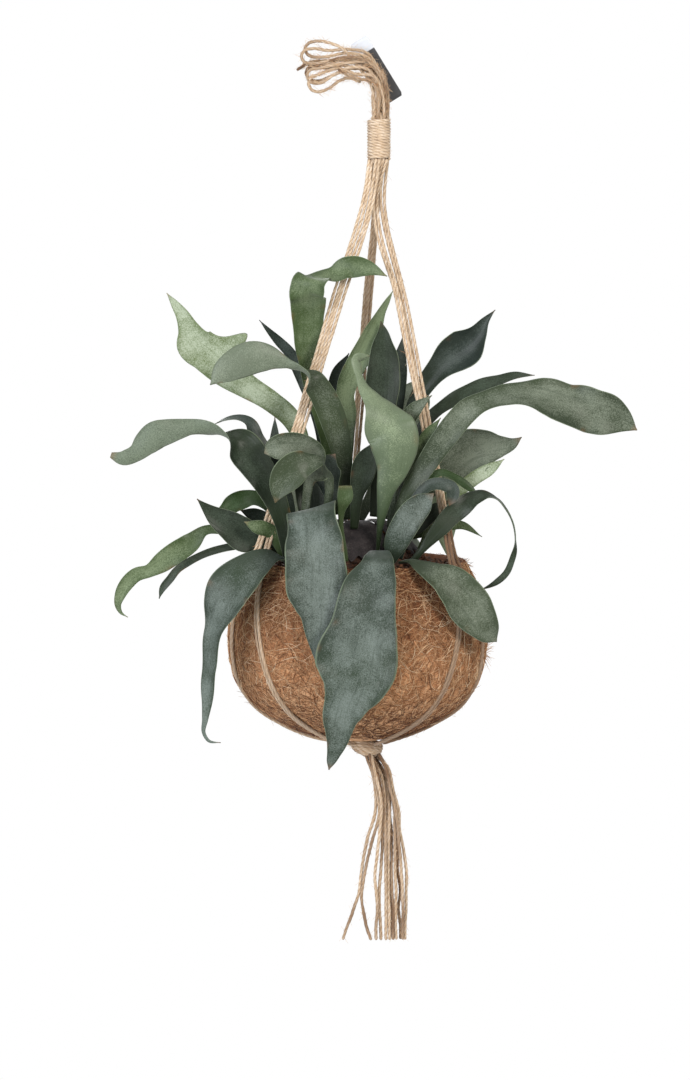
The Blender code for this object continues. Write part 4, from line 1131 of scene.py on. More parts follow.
@dataclass
class CoirBall:
    """The basket: a squat ball of felted coconut husk, open at the top, with its loose fibres."""

    centre_x: float = -17.0
    outline: tuple[Row, ...] = (
        (87, -340), (95, -355.5), (101, -370), (104, -390), (104, -406.5), (101.5, -424.5),
        (95.5, -441), (85, -454), (72, -463.5), (57, -472.5), (42.5, -478.5), (24.5, -483.5),
        (0, -485.5),
    )
    wall: float = 9.0
    around: int = 300
    fibre_pieces: int = 4
    fibres_each: int = 5200
    fibre_sides: int = 3
    fibre_rings: int = 5
    finish: CoirFinish = field(default_factory=CoirFinish)

    def profile(self) -> Array:
        """The outer side, from the bottom to the rim.

        Returns:
            Even rows of radius and height.
        """
        rows = np.array([(radius, 0.0, height) for radius, height in self.outline[::-1]], float)
        return smooth_path([tuple(row) for row in rows], 150)[:, [0, 2]]

    def surface(self, turn: Array, down: Array, lift: Array) -> Array:
        """Points on the outer side.

        Args:
            turn: compass turns, in radians.
            down: distance along the outline from its rim, in millimetres.
            lift: height above the surface.

        Returns:
            The points, in the arrays' shape.
        """
        line = self.profile()[::-1]
        steps = np.linalg.norm(np.diff(line, axis=0), axis=1)
        along = np.concatenate(([0.0], np.cumsum(steps)))
        radius = np.interp(down, along, line[:, 0])
        height = np.interp(down, along, line[:, 1])
        slope = np.gradient(line, along, axis=0)
        ahead_r = np.interp(down, along, slope[:, 0])
        ahead_z = np.interp(down, along, slope[:, 1])
        length = np.hypot(ahead_r, ahead_z)
        radius = radius - lift * ahead_z / length
        height = height + lift * ahead_r / length
        return np.stack([
            self.centre_x + radius * np.cos(turn), radius * np.sin(turn), height,
        ], axis=-1)

    def lumps(self, points: Array) -> Array:
        """How far the felt stands out: slow lumps of 30 mm and short ones of 5 mm."""
        return 0.9 * noise(points, 30.0, 41) + 0.35 * noise(points, 5.0, 42)

    def shell(self) -> None:
        """Builds the ball: its outline out and up, over the rim, and back down the inner wall."""
        outer = self.profile()
        along = unit(np.gradient(outer, axis=0))
        inner = outer - np.stack([along[:, 1], -along[:, 0]], axis=1) * self.wall
        inner = inner[np.arange(len(inner) - 1, -1, -1)]
        inner = inner[inner[:, 0] > 0.6]
        rim_turn = np.linspace(0, math.pi, 9)[1:-1, None]
        middle = (outer[-1] + inner[0]) / 2
        reach = (outer[-1] - inner[0]) / 2
        rise = np.array([0.0, 1.0]) * 2.2
        rim = middle + np.cos(rim_turn) * reach + np.sin(rim_turn) * rise
        outer = outer[outer[:, 0] > 0.6]
        line = np.concatenate([outer, rim, inner])
        turn = TAU * np.arange(self.around) / self.around
        radius, height = line[:, :1], line[:, 1:]
        points = np.stack([
            self.centre_x + radius * np.cos(turn), radius * np.sin(turn), height + 0 * turn,
        ], axis=-1)
        slope = unit(np.gradient(line, axis=0))
        normal = np.stack([
            slope[:, 1:] * np.cos(turn), slope[:, 1:] * np.sin(turn), -slope[:, :1] + 0 * turn,
        ], axis=-1)
        ease = np.clip(radius / 12.0, 0, 1)
        points = points + normal * (self.lumps(points) * ease)[..., None]
        down = np.concatenate(([0.0], np.cumsum(np.linalg.norm(np.diff(line, axis=0), axis=1))))
        values = {
            "turn": (turn * 95.0 + 0 * radius).reshape(-1),
            "down": (down[:, None] + 0 * turn).reshape(-1),
        }
        quads, caps = grid_faces(len(line), self.around)
        piece = make_mesh("coir_ball_felt", points.reshape(-1, 3), [quads, caps], values)
        place(piece, "coir", self.finish.mat(), ("coir_ball",))

    def hairs(
        self, name: str, paths: Array, radii: Array, shade: Array, finish: bpy.types.Material,
        slot: str = "coir",
    ) -> None:
        """Builds many thin fibres as one piece, each a tapering three-sided tube along its path.

        Args:
            name: the piece's name.
            paths: points, in rows of fibre, step and x, y, z.
            radii: each fibre's radius.
            shade: each fibre's shade, from 0, dark, to 1, pale.
            finish: the material.
            slot: the record's material slot.
        """
        count, rings = paths.shape[:2]
        forward = unit(np.gradient(paths, axis=1))
        seed = np.array([0.31, 0.22, 0.93])
        side = unit(np.cross(forward, seed))
        over = np.cross(forward, side)
        angle = TAU * np.arange(self.fibre_sides) / self.fibre_sides
        taper = np.interp(np.linspace(0, 1, rings), [0, 0.15, 0.8, 1], [0.45, 1, 0.9, 0.3])
        reach = radii[:, None, None, None] * taper[None, :, None, None]
        ring = np.cos(angle)[:, None] * side[:, :, None] + np.sin(angle)[:, None] * over[:, :, None]
        points = (paths[:, :, None] + reach * ring).reshape(-1, 3)
        quads, caps = grid_faces(rings, self.fibre_sides)
        offset = (np.arange(count) * rings * self.fibre_sides)[:, None, None]
        every = [(quads + offset).reshape(-1, 4), (caps + offset).reshape(-1, self.fibre_sides)]
        tone = np.repeat(shade, rings * self.fibre_sides)
        place(make_mesh(name, points, every, {"shade": tone}), slot, finish)

    def fibres(self) -> None:
        """Lays short fibres in every direction over the ball, gently bent, just off its surface."""
        finish = self.finish.fibre()
        random = np.random.default_rng(5)
        step = np.linspace(-0.5, 0.5, self.fibre_rings)
        for number in range(self.fibre_pieces):
            count = self.fibres_each
            turn = random.uniform(0, TAU, count)
            down = random.uniform(0, 178, count)
            keep = random.uniform(0, 1, count) < np.interp(down, [0, 110, 178], [1, 1, 0.25])
            turn, down = turn[keep], down[keep]
            count = len(turn)
            way = random.uniform(0, math.pi, count)
            length = random.uniform(6, 22, count)
            bend = random.normal(0, 0.6, count)
            heading = way[:, None] + bend[:, None] * step
            reach = length[:, None] * step
            line_down = np.clip(down[:, None] + reach * np.sin(heading), -1.0, 185)
            girth = 40 + 60 * np.sin(np.clip(down / 185, 0.05, 0.9) * math.pi)[:, None]
            line_turn = turn[:, None] + reach * np.cos(heading) / girth
            lift = random.uniform(-0.1, 0.6, count)[:, None] + 0.25 * (1 - (2 * step) ** 2)
            points = self.surface(line_turn, line_down, lift + 0 * line_down)
            normal_lift = self.lumps(points)
            points = self.surface(line_turn, line_down, lift + normal_lift)
            radii = random.uniform(0.11, 0.25, count)
            # Painted shade: fibres that lie close to the mat are darker.
            deep = np.clip(1 - lift[:, 0] / 0.9, 0, 1)
            shade = np.clip(random.normal(0.66, 0.25, count) - 0.25 * deep, 0, 1)
            # Painted shade: fibres are darker towards the ball's foot.
            low = np.clip((down - 90) / 80, 0, 1)
            shade = np.clip(shade - 0.42 * low, 0, 1)
            self.hairs(f"coir_fibres_{number + 1}", points, radii, shade, finish)
        self.stray(finish, random)

    def stray(self, finish: bpy.types.Material, random: np.random.Generator) -> None:
        """Adds fibres that stand off the ball: all round, along the rim, and a tuft on its side.

        Args:
            finish: the fibres' material.
            random: the source of their places.
        """
        count, rim, tuft = 260, 240, 40
        turn = np.concatenate([
            random.uniform(0, TAU, count + rim), math.radians(-14) + random.normal(0, 0.03, tuft),
        ])
        down = np.concatenate([
            random.uniform(4, 165, count), random.uniform(-1, 4, rim), 74 + random.normal(0, 2.0, tuft),
        ])
        size = len(turn)
        rise = np.concatenate([
            random.uniform(1.0, 4.0, count), random.uniform(1.0, 6.0, rim), random.uniform(3.0, 9.0, tuft),
        ])
        step = np.linspace(0, 1, self.fibre_rings)
        way = random.uniform(0, TAU, size)
        length = random.uniform(5, 14, size)
        line_turn = turn[:, None] + length[:, None] * step * np.cos(way)[:, None] / 95
        line_down = np.clip(down[:, None] + length[:, None] * step * np.sin(way)[:, None], -4, 180)
        lift = 0.2 + rise[:, None] * step**1.5
        points = self.surface(line_turn, line_down, lift)
        shade = np.clip(random.normal(0.5, 0.25, size), 0, 1)
        self.hairs("coir_stray_fibres", points, random.uniform(0.12, 0.24, size), shade, finish)

    def build(self) -> None:
        """Builds and dresses the ball and its fibres."""
        self.shell()
        self.fibres()


@dataclass
class Compost:
    """The growing medium: a turned body with a crumbly top, and loose bark and husk along the rim."""

    centre_x: float = -17.0
    level: float = -343.0
    hump_height: float = 34.0
    hump_radius: float = 46.0
    top_radius: float = 74.0
    inset: float = 10.0
    around: int = 220
    crumbs: int = 420

    def body(self, finish: bpy.types.Material) -> None:
        """Builds the body: the hump's curve out to the ball's wall, then down inside the wall.

        Args:
            finish: the material.
        """
        outline = CoirBall().profile()
        along = unit(np.gradient(outline, axis=0))
        inner = outline - np.stack([along[:, 1], -along[:, 0]], axis=1) * self.inset
        below = inner[(inner[:, 1] < self.level - 7) & (inner[:, 0] > 0.5)]
        out = np.linspace(0.5, self.top_radius, 60)[::-1]
        top = self.level + self.hump_height * np.exp(-((out / self.hump_radius) ** 4))
        line = np.concatenate([below, np.stack([out, top], axis=1)])
        turn = TAU * np.arange(self.around) / self.around
        points = np.stack([
            self.centre_x + line[:, :1] * np.cos(turn), line[:, :1] * np.sin(turn),
            line[:, 1:] + 0 * turn,
        ], axis=-1)
        rough = 1.0 * noise(points, 6.0, 61) + 0.5 * noise(points, 2.6, 62)
        crust = (line[:, 1:] > self.level - 4) * np.clip(line[:, :1] / 8, 0, 1)
        points[..., 2] += (rough - 0.4) * crust
        quads, caps = grid_faces(len(line), self.around)
        piece = make_mesh("growing_medium_body", points.reshape(-1, 3), [quads, caps])
        place(piece, "growing_medium", finish, ("growing_medium",))

    def bits(self, finish: bpy.types.Material) -> None:
        """Scatters small angular flakes of bark over the top.

        Each flake is a five-sided stub, squashed and turned its own way.

        Args:
            finish: the material.
        """
        random = np.random.default_rng(17)
        count, sides = self.crumbs, 5
        out = np.sqrt(random.uniform(0.32, 1, count)) * 76
        turn = random.uniform(0, TAU, count)
        size = random.uniform(1.0, 3.4, count)
        height = self.level + self.hump_height * np.exp(-((out / self.hump_radius) ** 4))
        centre = np.stack([
            self.centre_x + out * np.cos(turn), out * np.sin(turn), height + size * 0.25 + 0.6,
        ], axis=1)
        angle = TAU * np.arange(sides) / sides
        basis = unit(random.normal(size=(count, 3)))
        other = unit(np.cross(basis, random.normal(size=(count, 3))))
        third = np.cross(basis, other)
        rings = np.array([[-0.5, 0.55], [-0.25, 1.0], [0.3, 0.9], [0.55, 0.45]])
        jag = random.uniform(0.75, 1.25, (count, len(rings), sides))
        reach = rings[:, 1][None, :, None] * jag * size[:, None, None]
        points = (
            centre[:, None, None]
            + basis[:, None, None] * (rings[:, 0][None, :, None, None] * 0.7 * size[:, None, None, None])
            + other[:, None, None] * (reach * np.cos(angle))[..., None]
            + third[:, None, None] * (reach * np.sin(angle) * 0.6)[..., None]
        ).reshape(-1, 3)
        quads, caps = grid_faces(len(rings), sides)
        offset = (np.arange(count) * len(rings) * sides)[:, None, None]
        every = [(quads + offset).reshape(-1, 4), (caps + offset).reshape(-1, sides)]
        place(make_mesh("bark_crumbs", points, every), "growing_medium", finish)

    def build(self) -> None:
        """Builds and dresses the compost and its crumbs."""
        finish = PeatFinish().material()
        self.body(finish)
        self.bits(finish)


# ---------------------------------------------------------------- hanger


@dataclass(frozen=True)
class Leg:
    """One leg of the hanger, two pairs of strands side by side.

    below: where it hangs free under the neck. shoulder: where it reaches the ball.
    apart, foot_apart: from the leg's middle to its second pair, up under the neck and down at
    the shoulder.
    neck_turns, sling_turns: each pair's compass turn in the whipping, and round the ball where its
    sling leaves the shoulder and where it nears the knot.
    """

    name: str
    below: Row
    shoulder: Row
    apart: Row
    foot_apart: Row
    neck_turns: Row
    sling_turns: tuple[Row, Row]
    dirt: float = 0.0
    # Painted shade from the fronds over the leg's foot, by the ball's shoulder.
    foot_shade: float = 0.1


LEGS: tuple[Leg, ...] = (
    Leg("left", (-7.5, -5, -42), (-97, -48, -339), (2.8, 0), (2.8, 0), (200, 260),
        ((199, 191), (217, 236))),
    Leg("right", (0.5, 2, -42), (59.5, -51.5, -336), (2.6, 1.6), (1, 3.2), (320, 20),
        ((323, 306), (338, 350)), 0.2, 1.0),
    Leg("back", (-2, 10, -42), (-25, 92, -335), (1.2, 2.6), (1.6, 2.4), (140, 80),
        ((102, 125), (84, 62)), 0.45, 0.6),
)
# Along a leg: the share of its length, how far its pairs spread, and how far they have turned.
LEG_STEPS: tuple[Row, ...] = (
    (0.0, 1.0, 0.0), (0.3, 1.0, 0.0), (0.6, 1.0, 0.5), (0.88, 1.1, 1.0), (1.0, 1.6, 1.0),
)

# Cut tails below the knot: each with its own route down.
TAILS: tuple[tuple[str, str, tuple[Row, ...]], ...] = (
    ("tail_1", "tassel_tail_left", ((-10.5, -5, -496), (-5.5, -6, -512), (-3, -6, -526), (-2.5, -6, -541.5),
                                    (-9.5, -6, -568), (-14.5, -6, -594.5), (-16, -6, -610),
                                    (-20, -5, -622.5), (-29, -4, -648))),
    ("tail_2", "tassel_tail_left", ((-7.5, -8, -495.5), (-3.5, -8, -513), (-0.5, -8, -528), (-1, -8, -552.5),
                                    (-6, -7, -571), (-12, -7, -598.5), (-14, -6, -614),
                                    (-9, -6, -638.5), (-6, -6, -648))),
    ("tail_3", "tassel_tail_near", ((-5.5, -8, -496.5), (-2, -10, -514), (1.5, -10, -530), (1, -10, -556.5),
                                    (-1, -10, -581), (-2.5, -10, -603.5), (-1.5, -10, -616),
                                    (-2, -9, -647.5))),
    ("tail_4", "tassel_tail_near", ((-4.5, -3, -498), (0, -4, -514), (2.5, -5, -528.5), (4, -6, -557),
                                    (1.5, -6, -585.5), (0, -6, -610), (2, -6, -648))),
    ("tail_5", "tassel_tail_middle", ((-6.5, 0, -499), (1.5, -1, -513), (4.5, -3, -528.5), (5.5, -6, -552.5),
                                      (5.5, -8, -595.5), (6, -7, -624), (6, -6, -648))),
    ("tail_6", "tassel_tail_middle", ((-5.5, 4, -499), (3.5, 2, -512.5), (7.5, -1, -526.5), (8.5, -5, -549.5),
                                      (8, -6, -595.5), (8.5, -6, -624.5), (9, -5, -648))),
    ("tail_7", "tassel_tail_middle", ((-4, 6, -498.5), (5.5, 4, -512.5), (8.5, 2, -526.5), (9.5, 0, -553),
                                      (11, -4, -596), (11.5, -4, -624.5), (12, -4, -648))),
    ("tail_8", "tassel_tail_middle", ((-7.5, 7, -498.5), (1.5, 6, -513.5), (5.5, 4, -528.5), (6.5, 2, -555),
                                      (8.5, 1, -596), (9.5, 1, -648.5))),
    ("tail_9", "tassel_tail_middle", ((-3, 3, -497), (8.5, 1, -509), (11.5, -3, -524.5), (12.5, -5, -553),
                                      (13.5, -5, -595.5), (14, -4, -624.5), (14.5, -3, -648))),
    ("tail_10", "tassel_tail_right", ((-1, 0, -495), (5.5, -2, -508), (9.5, -6, -524), (15, -7, -544.5),
                                      (16.5, -6, -567), (19, -5, -589.5), (19.5, -4, -618.5),
                                      (19.5, -3, -648))),
    ("tail_11", "tassel_tail_right", ((-1, 5, -495), (6.5, 5, -508.5), (11, 3, -523), (16.5, 1, -550),
                                      (19.5, 0, -571.5), (22.5, 0, -594), (22.5, 0, -618.5),
                                      (21.5, 0, -648.5))),
    ("tail_12", "tassel_tail_right", ((-2, 8, -496.5), (6, 8, -509), (10, 7, -526), (14.5, 5, -553.5),
                                      (16.5, 4, -596.5), (18, 3, -648.5))),
)

# Loops and ends that stand over the whipping, bent over to the left.
LOOPS: tuple[tuple[str, str, str, tuple[Row, ...]], ...] = (
    ("loop_1", "top_loop", "object", (
        (-4, 2, 16.5), (-5, 2, 37.5), (-1, 2, 53.5), (-8, 1, 65), (-24, 0, 69), (-42, -1, 66),
        (-51, -2, 65.8),
        (-57, -2.3, 67.8), (-59, -2.6, 72.3), (-56, -3, 76.8), (-49, -3.7, 78.5), (-41, -4, 77.5),
        (-30, -4, 73.5), (-18, -4, 60.5), (-7, -5, 44.5), (-4, -5, 30.5),
        (-4, -6, 15.5))),
    ("loop_2", "lower_loop", "object", (
        (4, -4, 16), (3, -6, 36.5), (-4, -9, 50.5), (-18, -10, 52), (-34, -9, 56.5), (-49, -8, 51.5),
        (-54.5, -7.5, 49.5), (-56.5, -7, 44.5), (-54, -6.5, 39.5), (-48.5, -6, 38), (-41, -6, 40.5),
        (-32, -6, 47), (-22, -6, 49), (-14.5, -6, 45.5))),
    ("end_1", "cord_ends", "bare", (
        (4, 4, 16.5), (5, 5, 35.5), (1, 7, 50), (-8, 8, 59), (-22, 8, 63), (-40, 7, 63), (-56, 6, 61.5),
        (-66, 5, 55.5))),
    ("loop_3", "", "object", (
        (1, 1, 16), (2, 1, 37), (0, -1, 54), (-9, -2, 62), (-24, -4, 64.5), (-42, -5, 62.5),
        (-54, -5, 60.5),
        (-60, -5, 62), (-62, -5, 66.5), (-59.5, -5, 71), (-53, -5, 72.5), (-42, -3, 71), (-26, -1, 72),
        (-9, 4, 68.5), (0, 5, 56.5), (1, 5, 37.5),
        (0, 5, 16.5))),
    ("loop_4", "", "object", (
        (7, 0, 16), (7, 0, 37), (4, -2, 53), (-6, -4, 57.5), (-20, -7, 57.5), (-36, -6, 60.5),
        (-49, -3, 59),
        (-56, -1.5, 58), (-59, 0, 53), (-56.5, 1, 48.3), (-50, 2, 46.8), (-38, 2, 50.5), (-22, 3, 56.5),
        (-8, 4, 54.5), (-2, 3, 41.5), (-3, 4, 16.5))),
    ("end_2", "", "bare", (
        (-1, -6, 15.5), (-1, -7, 33.5), (-5, -9, 46.5), (-14, -11, 48), (-24, -12, 51), (-33, -12, 56))),
    ("end_3", "", "bare", (
        (-2, 3, 16), (-1, 3, 36), (-2.5, 2, 50), (-10, 0, 59.5), (-24, -1, 61), (-38, -2, 57),
        (-50, -3, 58), (-61, -3, 61.5))),
    ("end_4", "", "bare", (
        (5, -3, 16), (5, -4, 37), (2, -6, 51), (-6, -7, 60), (-16, -8, 65), (-28, -7, 65.5),
        (-40, -6, 62.5))),
    ("loop_5", "", "object", (
        (3, -2, 16), (3, -3, 36), (0, -5, 52), (-9, -6, 61), (-24, -8, 61), (-40, -9, 58.5),
        (-49, -9, 56.5), (-55, -8.5, 55.3), (-57.3, -8, 50.5), (-55, -8, 46),
        (-48.5, -8, 44.8), (-36, -9, 51.5), (-22, -10, 57.5),
        (-9, -9, 55.5), (-2, -7, 44), (-1, -5, 16))),
)


@dataclass
class Hanger:
    """The jute hanger: twelve strands, the whipping at the neck, the knot, the tails and the loops.

    A strand's section is three plies: its radius at angle a is the full radius times
    0.84 + 0.16 |cos 1.5(a - twist)|^0.7, and the twist grows by a full turn every lay length.
    """

    strand: float = 2.5
    pair_gap: float = 1.35
    lay: float = 17.0
    ring: int = 18
    station: float = 1.15
    neck_radius: float = 9.5
    neck_height: float = 28.0
    pair_ring: float = 6.4
    knot_centre: Row = (-12.0, 0.0, -491.0)
    knot_radii: Row = (14.5, 12.0, 9.0)
    knot_gap: float = 1.6
    knot_lean: float = 5.5
    fuzz_hairs: int = 4600
    loop_fuzz: float = 4.0
    sling_heights: Row = (-363.5, -386, -410.5, -432.5, -453, -469.5, -478.5)
    ball: CoirBall = field(default_factory=CoirBall)
    finish: bpy.types.Material | None = None
    lines: list[Array] = field(default_factory=list)

    def on_ball(self, turn: float, height: float, lift: float) -> Row:
        """A point outside the ball.

        Args:
            turn: its compass turn, in degrees.
            height: its height.
            lift: how far off the ball's outline it is.

        Returns:
            The point.
        """
        rows = np.array(self.ball.outline)[::-1]
        reads = [float(np.interp(height + step, rows[:, 1], rows[:, 0])) for step in (-4, 0, 4)]
        lean = math.atan2(reads[2] - reads[0], 8)
        reach = reads[1] + lift * math.cos(lean)
        angle = math.radians(turn)
        return (
            self.ball.centre_x + reach * math.cos(angle), reach * math.sin(angle),
            height - lift * math.sin(lean),
        )

    def pair_route(self, leg: Leg, number: int) -> list[Row]:
        """A pair's route: out of the whipping, down its leg, then round the ball to the knot.

        Args:
            leg: the leg.
            number: 0 or 1, the pair in the leg.

        Returns:
            The route's points.
        """
        sign = (-1, 1)[number]
        turn = math.radians(leg.neck_turns[number])
        points = [(
            self.pair_ring * math.cos(turn), self.pair_ring * math.sin(turn),
            -self.neck_height / 2 - 1.2,
        )]
        for share, spread, low in LEG_STEPS:
            x, y, z = (a + (b - a) * share for a, b in zip(leg.below, leg.shoulder))
            wide, deep = (a + (b - a) * low for a, b in zip(leg.apart, leg.foot_apart))
            points.append((x + sign * spread * wide, y + sign * spread * deep, z))
        high, low = leg.sling_turns[number]
        for step, height in enumerate(self.sling_heights):
            turn = high + (low - high) * step / (len(self.sling_heights) - 1)
            points.append(self.on_ball(turn, height, self.strand / 2 + 0.3))
        angle = math.radians(low)
        points.append((
            self.knot_centre[0] + (self.knot_radii[0] + self.knot_gap) * math.cos(angle),
            self.knot_centre[1] + (self.knot_radii[1] + self.knot_gap) * math.sin(angle),
            self.knot_centre[2] + 3.4,
        ))
        return points

    def twine(
        self, name: str, line: Array, stain: Array, nodes: tuple[str, ...], seed: int
    ) -> bpy.types.Object:
        """Builds one strand along a line, with its plies, slubs and rounded-off ends.

        Args:
            name: the piece's name.
            line: the centreline, evenly spaced.
            stain: how dirty it is at each point, from 0 to 1, and painted shade where a leg runs under the
                fronds.
            nodes: the frame's nodes that it stands for.
            seed: picks its unevenness.

        Returns:
            The dressed object.
        """
        radius = self.strand / 2
        rows = len(line)
        forward, side, over = frames_along(line)
        steps = np.linalg.norm(np.diff(line, axis=0), axis=1)
        along = np.concatenate(([0.0], np.cumsum(steps)))[:, None]
        angle = (TAU * np.arange(self.ring) / self.ring)[None, :]
        twist = TAU * along / self.lay
        ply = np.abs(np.cos(1.5 * (angle - twist))) ** 0.7
        spots = np.stack([along[:, 0], np.full(rows, seed * 3.7), np.zeros(rows)], axis=1)
        slub = 1 + (0.09 * noise(spots, 9.0, seed + 3) + 0.05 * noise(spots, 2.5, seed + 4))[:, None]
        reach = radius * 1.05 * (0.84 + 0.16 * ply) * slub
        end = np.minimum(along, along[-1] - along)
        reach = reach * np.sqrt(np.clip(end / radius + 0.3, 0, 1))
        points = (
            line[:, None] + side[:, None] * (reach * np.cos(angle))[..., None]
            + over[:, None] * (reach * np.sin(angle))[..., None]
        )
        values = {
            "along": (along + 0 * angle + seed * 17.0).reshape(-1),
            "around": (radius * np.mod(angle - twist, TAU) + 0 * along).reshape(-1),
            # Painted shade in the grooves between the plies.
            "groove": (1 - ply).reshape(-1),
            "stain": (stain[:, None] + 0 * angle).reshape(-1),
        }
        quads, caps = grid_faces(rows, self.ring)
        piece = make_mesh(name, points.reshape(-1, 3), [quads, caps], values)
        self.lines.append(line)
        return place(piece, "jute", self.finish, nodes)

    def declare(self, line: Array, far_end: str, lay: str) -> None:
        """Works out a strand's length and points, and keeps neither.

        Args:
            line: its centreline.
            far_end: what is on its far end; not used.
            lay: how it lies; not used.
        """
        path_length(line) * MM
        [tuple(point) for point in line * MM]

    def strands(self) -> None:
        """Builds the twelve strands, two beside each other along each pair's route."""
        for leg in LEGS:
            for number in range(2):
                route = smooth_path(self.pair_route(leg, number), 430)
                forward = unit(np.gradient(route, axis=0))
                out = route - np.array([self.ball.centre_x, 0.0, -410.0])
                on_leg = np.clip((route[:, 2] + 362) / 30, 0, 1)[:, None]
                normal = unit(out) * (1 - on_leg) + np.array([0.0, -1.0, 0.0]) * on_leg
                across = unit(np.cross(normal, forward))
                share = np.linspace(0, 1, len(route))
                for half in range(2):
                    seed = 31 * number + 7 * half + len(leg.name) * 5
                    spots = np.stack([share * 500, np.full(len(route), seed), 0 * share], axis=1)
                    sway = 0.40 * noise(spots, 24.0, seed)
                    gap = self.pair_gap * (2 * half - 1) + sway
                    line = route + across * gap[:, None]
                    stain = leg.dirt + 0.2 * np.abs(noise(spots, 60.0, seed + 40))
                    # Painted shade where the leg runs under the fronds to the shoulder, darkest on the right
                    # leg.
                    foot = np.clip((-285 - line[:, 2]) / 25, 0, 1) * (line[:, 2] > -362)
                    sling = 0.62 * np.clip((-352 - line[:, 2]) / 12, 0, 1)
                    stain = np.clip(np.maximum(stain, leg.foot_shade * foot) + sling, 0, 1)
                    name = f"hanger_{leg.name}_pair_{number + 1}"
                    piece = self.twine(
                        f"{name}_strand_{half + 1}", line, stain, (name,) if half == 0 else (), seed=seed,
                    )
                    self.declare(line, "object", "taut")

    def whipping(self) -> None:
        """Builds the neck: the gathered strands as a lobed core, and tight turns of twine round it."""
        rows, turns = 60, 13
        height = np.linspace(-self.neck_height / 2 - 8, self.neck_height / 2 + 8, rows)[:, None]
        angle = (TAU * np.arange(96) / 96)[None, :]
        lobes = np.abs(np.cos(6 * angle + height / 14))
        ease = np.sqrt(np.clip(1 - (height / (self.neck_height / 2 + 9)) ** 6, 0.02, 1))
        reach = (self.neck_radius - self.strand) * (0.80 + 0.18 * lobes) * ease
        points = np.stack([reach * np.cos(angle), reach * np.sin(angle), height + 0 * angle], axis=-1)
        values = {
            "along": (height + 0 * angle).reshape(-1), "around": (angle * 6 + 0 * height).reshape(-1),
            "groove": (1 - lobes + 0 * height).reshape(-1), "stain": np.full(points[..., 0].size, 0.35),
        }
        quads, caps = grid_faces(rows, 96)
        core = make_mesh("neck_core", points.reshape(-1, 3), [quads, caps], values)
        place(core, "jute", self.finish)
        share = np.linspace(0, 1, turns * 46)
        turn = TAU * turns * share
        winding = self.neck_radius - self.strand / 2
        span = self.neck_height + 3.0
        line = np.stack([
            winding * np.cos(turn), winding * np.sin(turn), span * (share - 0.5),
        ], axis=1)
        self.twine("neck_whipping_twine", line, 0 * share + 0.05, ("neck_whipping",), 91)

    def funnel(self, points: Array) -> Array:
        """Narrows points about the knot's middle towards its foot, and leans the foot to the right.

        Args:
            points: the points, measured from the knot's middle.

        Returns:
            The points moved, their width times 1 at the top and 0.6 at the foot.
        """
        low = 0.5 - points[..., 2:] / (2 * self.knot_radii[2])
        moved = points * (1 - 0.4 * low * np.array([1.0, 1.0, 0.0]))
        return moved + low * np.array([self.knot_lean, 0.0, 0.0])

    def knot(self) -> None:
        """Builds the knot: a lobed core, and one strand wound over it in slanting turns."""
        rows, around = 40, 72
        level = np.linspace(0.03, math.pi - 0.03, rows)[:, None]
        angle = (TAU * np.arange(around) / around)[None, :]
        centre = np.array(self.knot_centre)
        size = np.array(self.knot_radii) - 0.6
        ball = np.stack([
            np.sin(level) * np.cos(angle), np.sin(level) * np.sin(angle), -np.cos(level) + 0 * angle,
        ], axis=-1)
        lobed = ball * size * (1 + 0.06 * np.cos(5 * angle + 4 * level))[..., None]
        points = centre + self.funnel(lobed)
        values = {
            "along": (level * 12 + 0 * angle).reshape(-1), "around": (angle * 9 + 0 * level).reshape(-1),
            "groove": np.full(rows * around, 0.3), "stain": np.full(rows * around, 0.8),
        }
        quads, caps = grid_faces(rows, around)
        core = make_mesh("bottom_knot_core", points.reshape(-1, 3), [quads, caps], values)
        place(core, "jute", self.finish)
        size = np.array(self.knot_radii) - self.strand / 2 + 0.9
        for number, (turns, tilt, start) in enumerate(((3, 0.42, 0.0), (3, -0.36, 1.9))):
            share = np.linspace(0, 1, turns * 64)
            turn = TAU * turns * share + start
            lean = tilt * np.sin(turn + 0.6 * number) + 0.75 * (share - 0.5)
            ball = np.stack([
                np.cos(turn) * np.cos(lean), np.sin(turn) * np.cos(lean), np.sin(lean),
            ], axis=1)
            line = centre + self.funnel(ball * (size + 0.5 * number))
            stain = np.clip(0.7 + 0.5 * noise(line, 9.0, 3), 0, 0.95)
            nodes = ("bottom_knot",) if number == 0 else ()
            self.twine(f"bottom_knot_wrap_{number + 1}", line, stain, nodes, 200 + number)

    def loose(self) -> None:
        done: set[str] = set()
        cords = [(name, node, "bare", "hanging", path) for name, node, path in TAILS]
        cords += [(name, node, end, "loose", path) for name, node, end, path in LOOPS]
        for number, (name, node, end, lay, path) in enumerate(cords):
            rows = int(path_length(np.array(path, float)) / self.station)
            line = smooth_path(path, rows)
            share = np.linspace(0, 1, rows)
            ease = np.clip(np.minimum(share, 1 - share) * 10, 0, 1)
            for axis in range(2):
                sway = 1.2 * noise(line, 16.0, 60 + 5 * number + axis)
                line[:, axis] += sway * ease
            spots = line * np.array([1.0, 1.0, 0.6])
            stain = 0.64 + 0.2 * math.sin(2.4 * number) + 0.4 * noise(spots, 18.0, 400 + number)
            if lay == "hanging":
                stain = stain + 0.35 * np.clip(1 - share * 6, 0, 1)
            if end == "bare" and lay == "loose":
                stain = stain + 0.8 * np.clip(share * 8 - 7, 0, 1)
            stain = np.clip(stain, 0.2, 1)
            nodes = (node,) if node and node not in done else ()
            done.add(node)
            piece = self.twine(f"cord_{name}", line, stain, nodes, seed=300 + 11 * number)
            self.declare(line, end, lay)

    def fuzz(self) -> None:
        """Adds the fine hairs that stand off the twine, most of them over the whipping."""
        random = np.random.default_rng(23)
        lines = [line for line in self.lines if len(line) > 40]
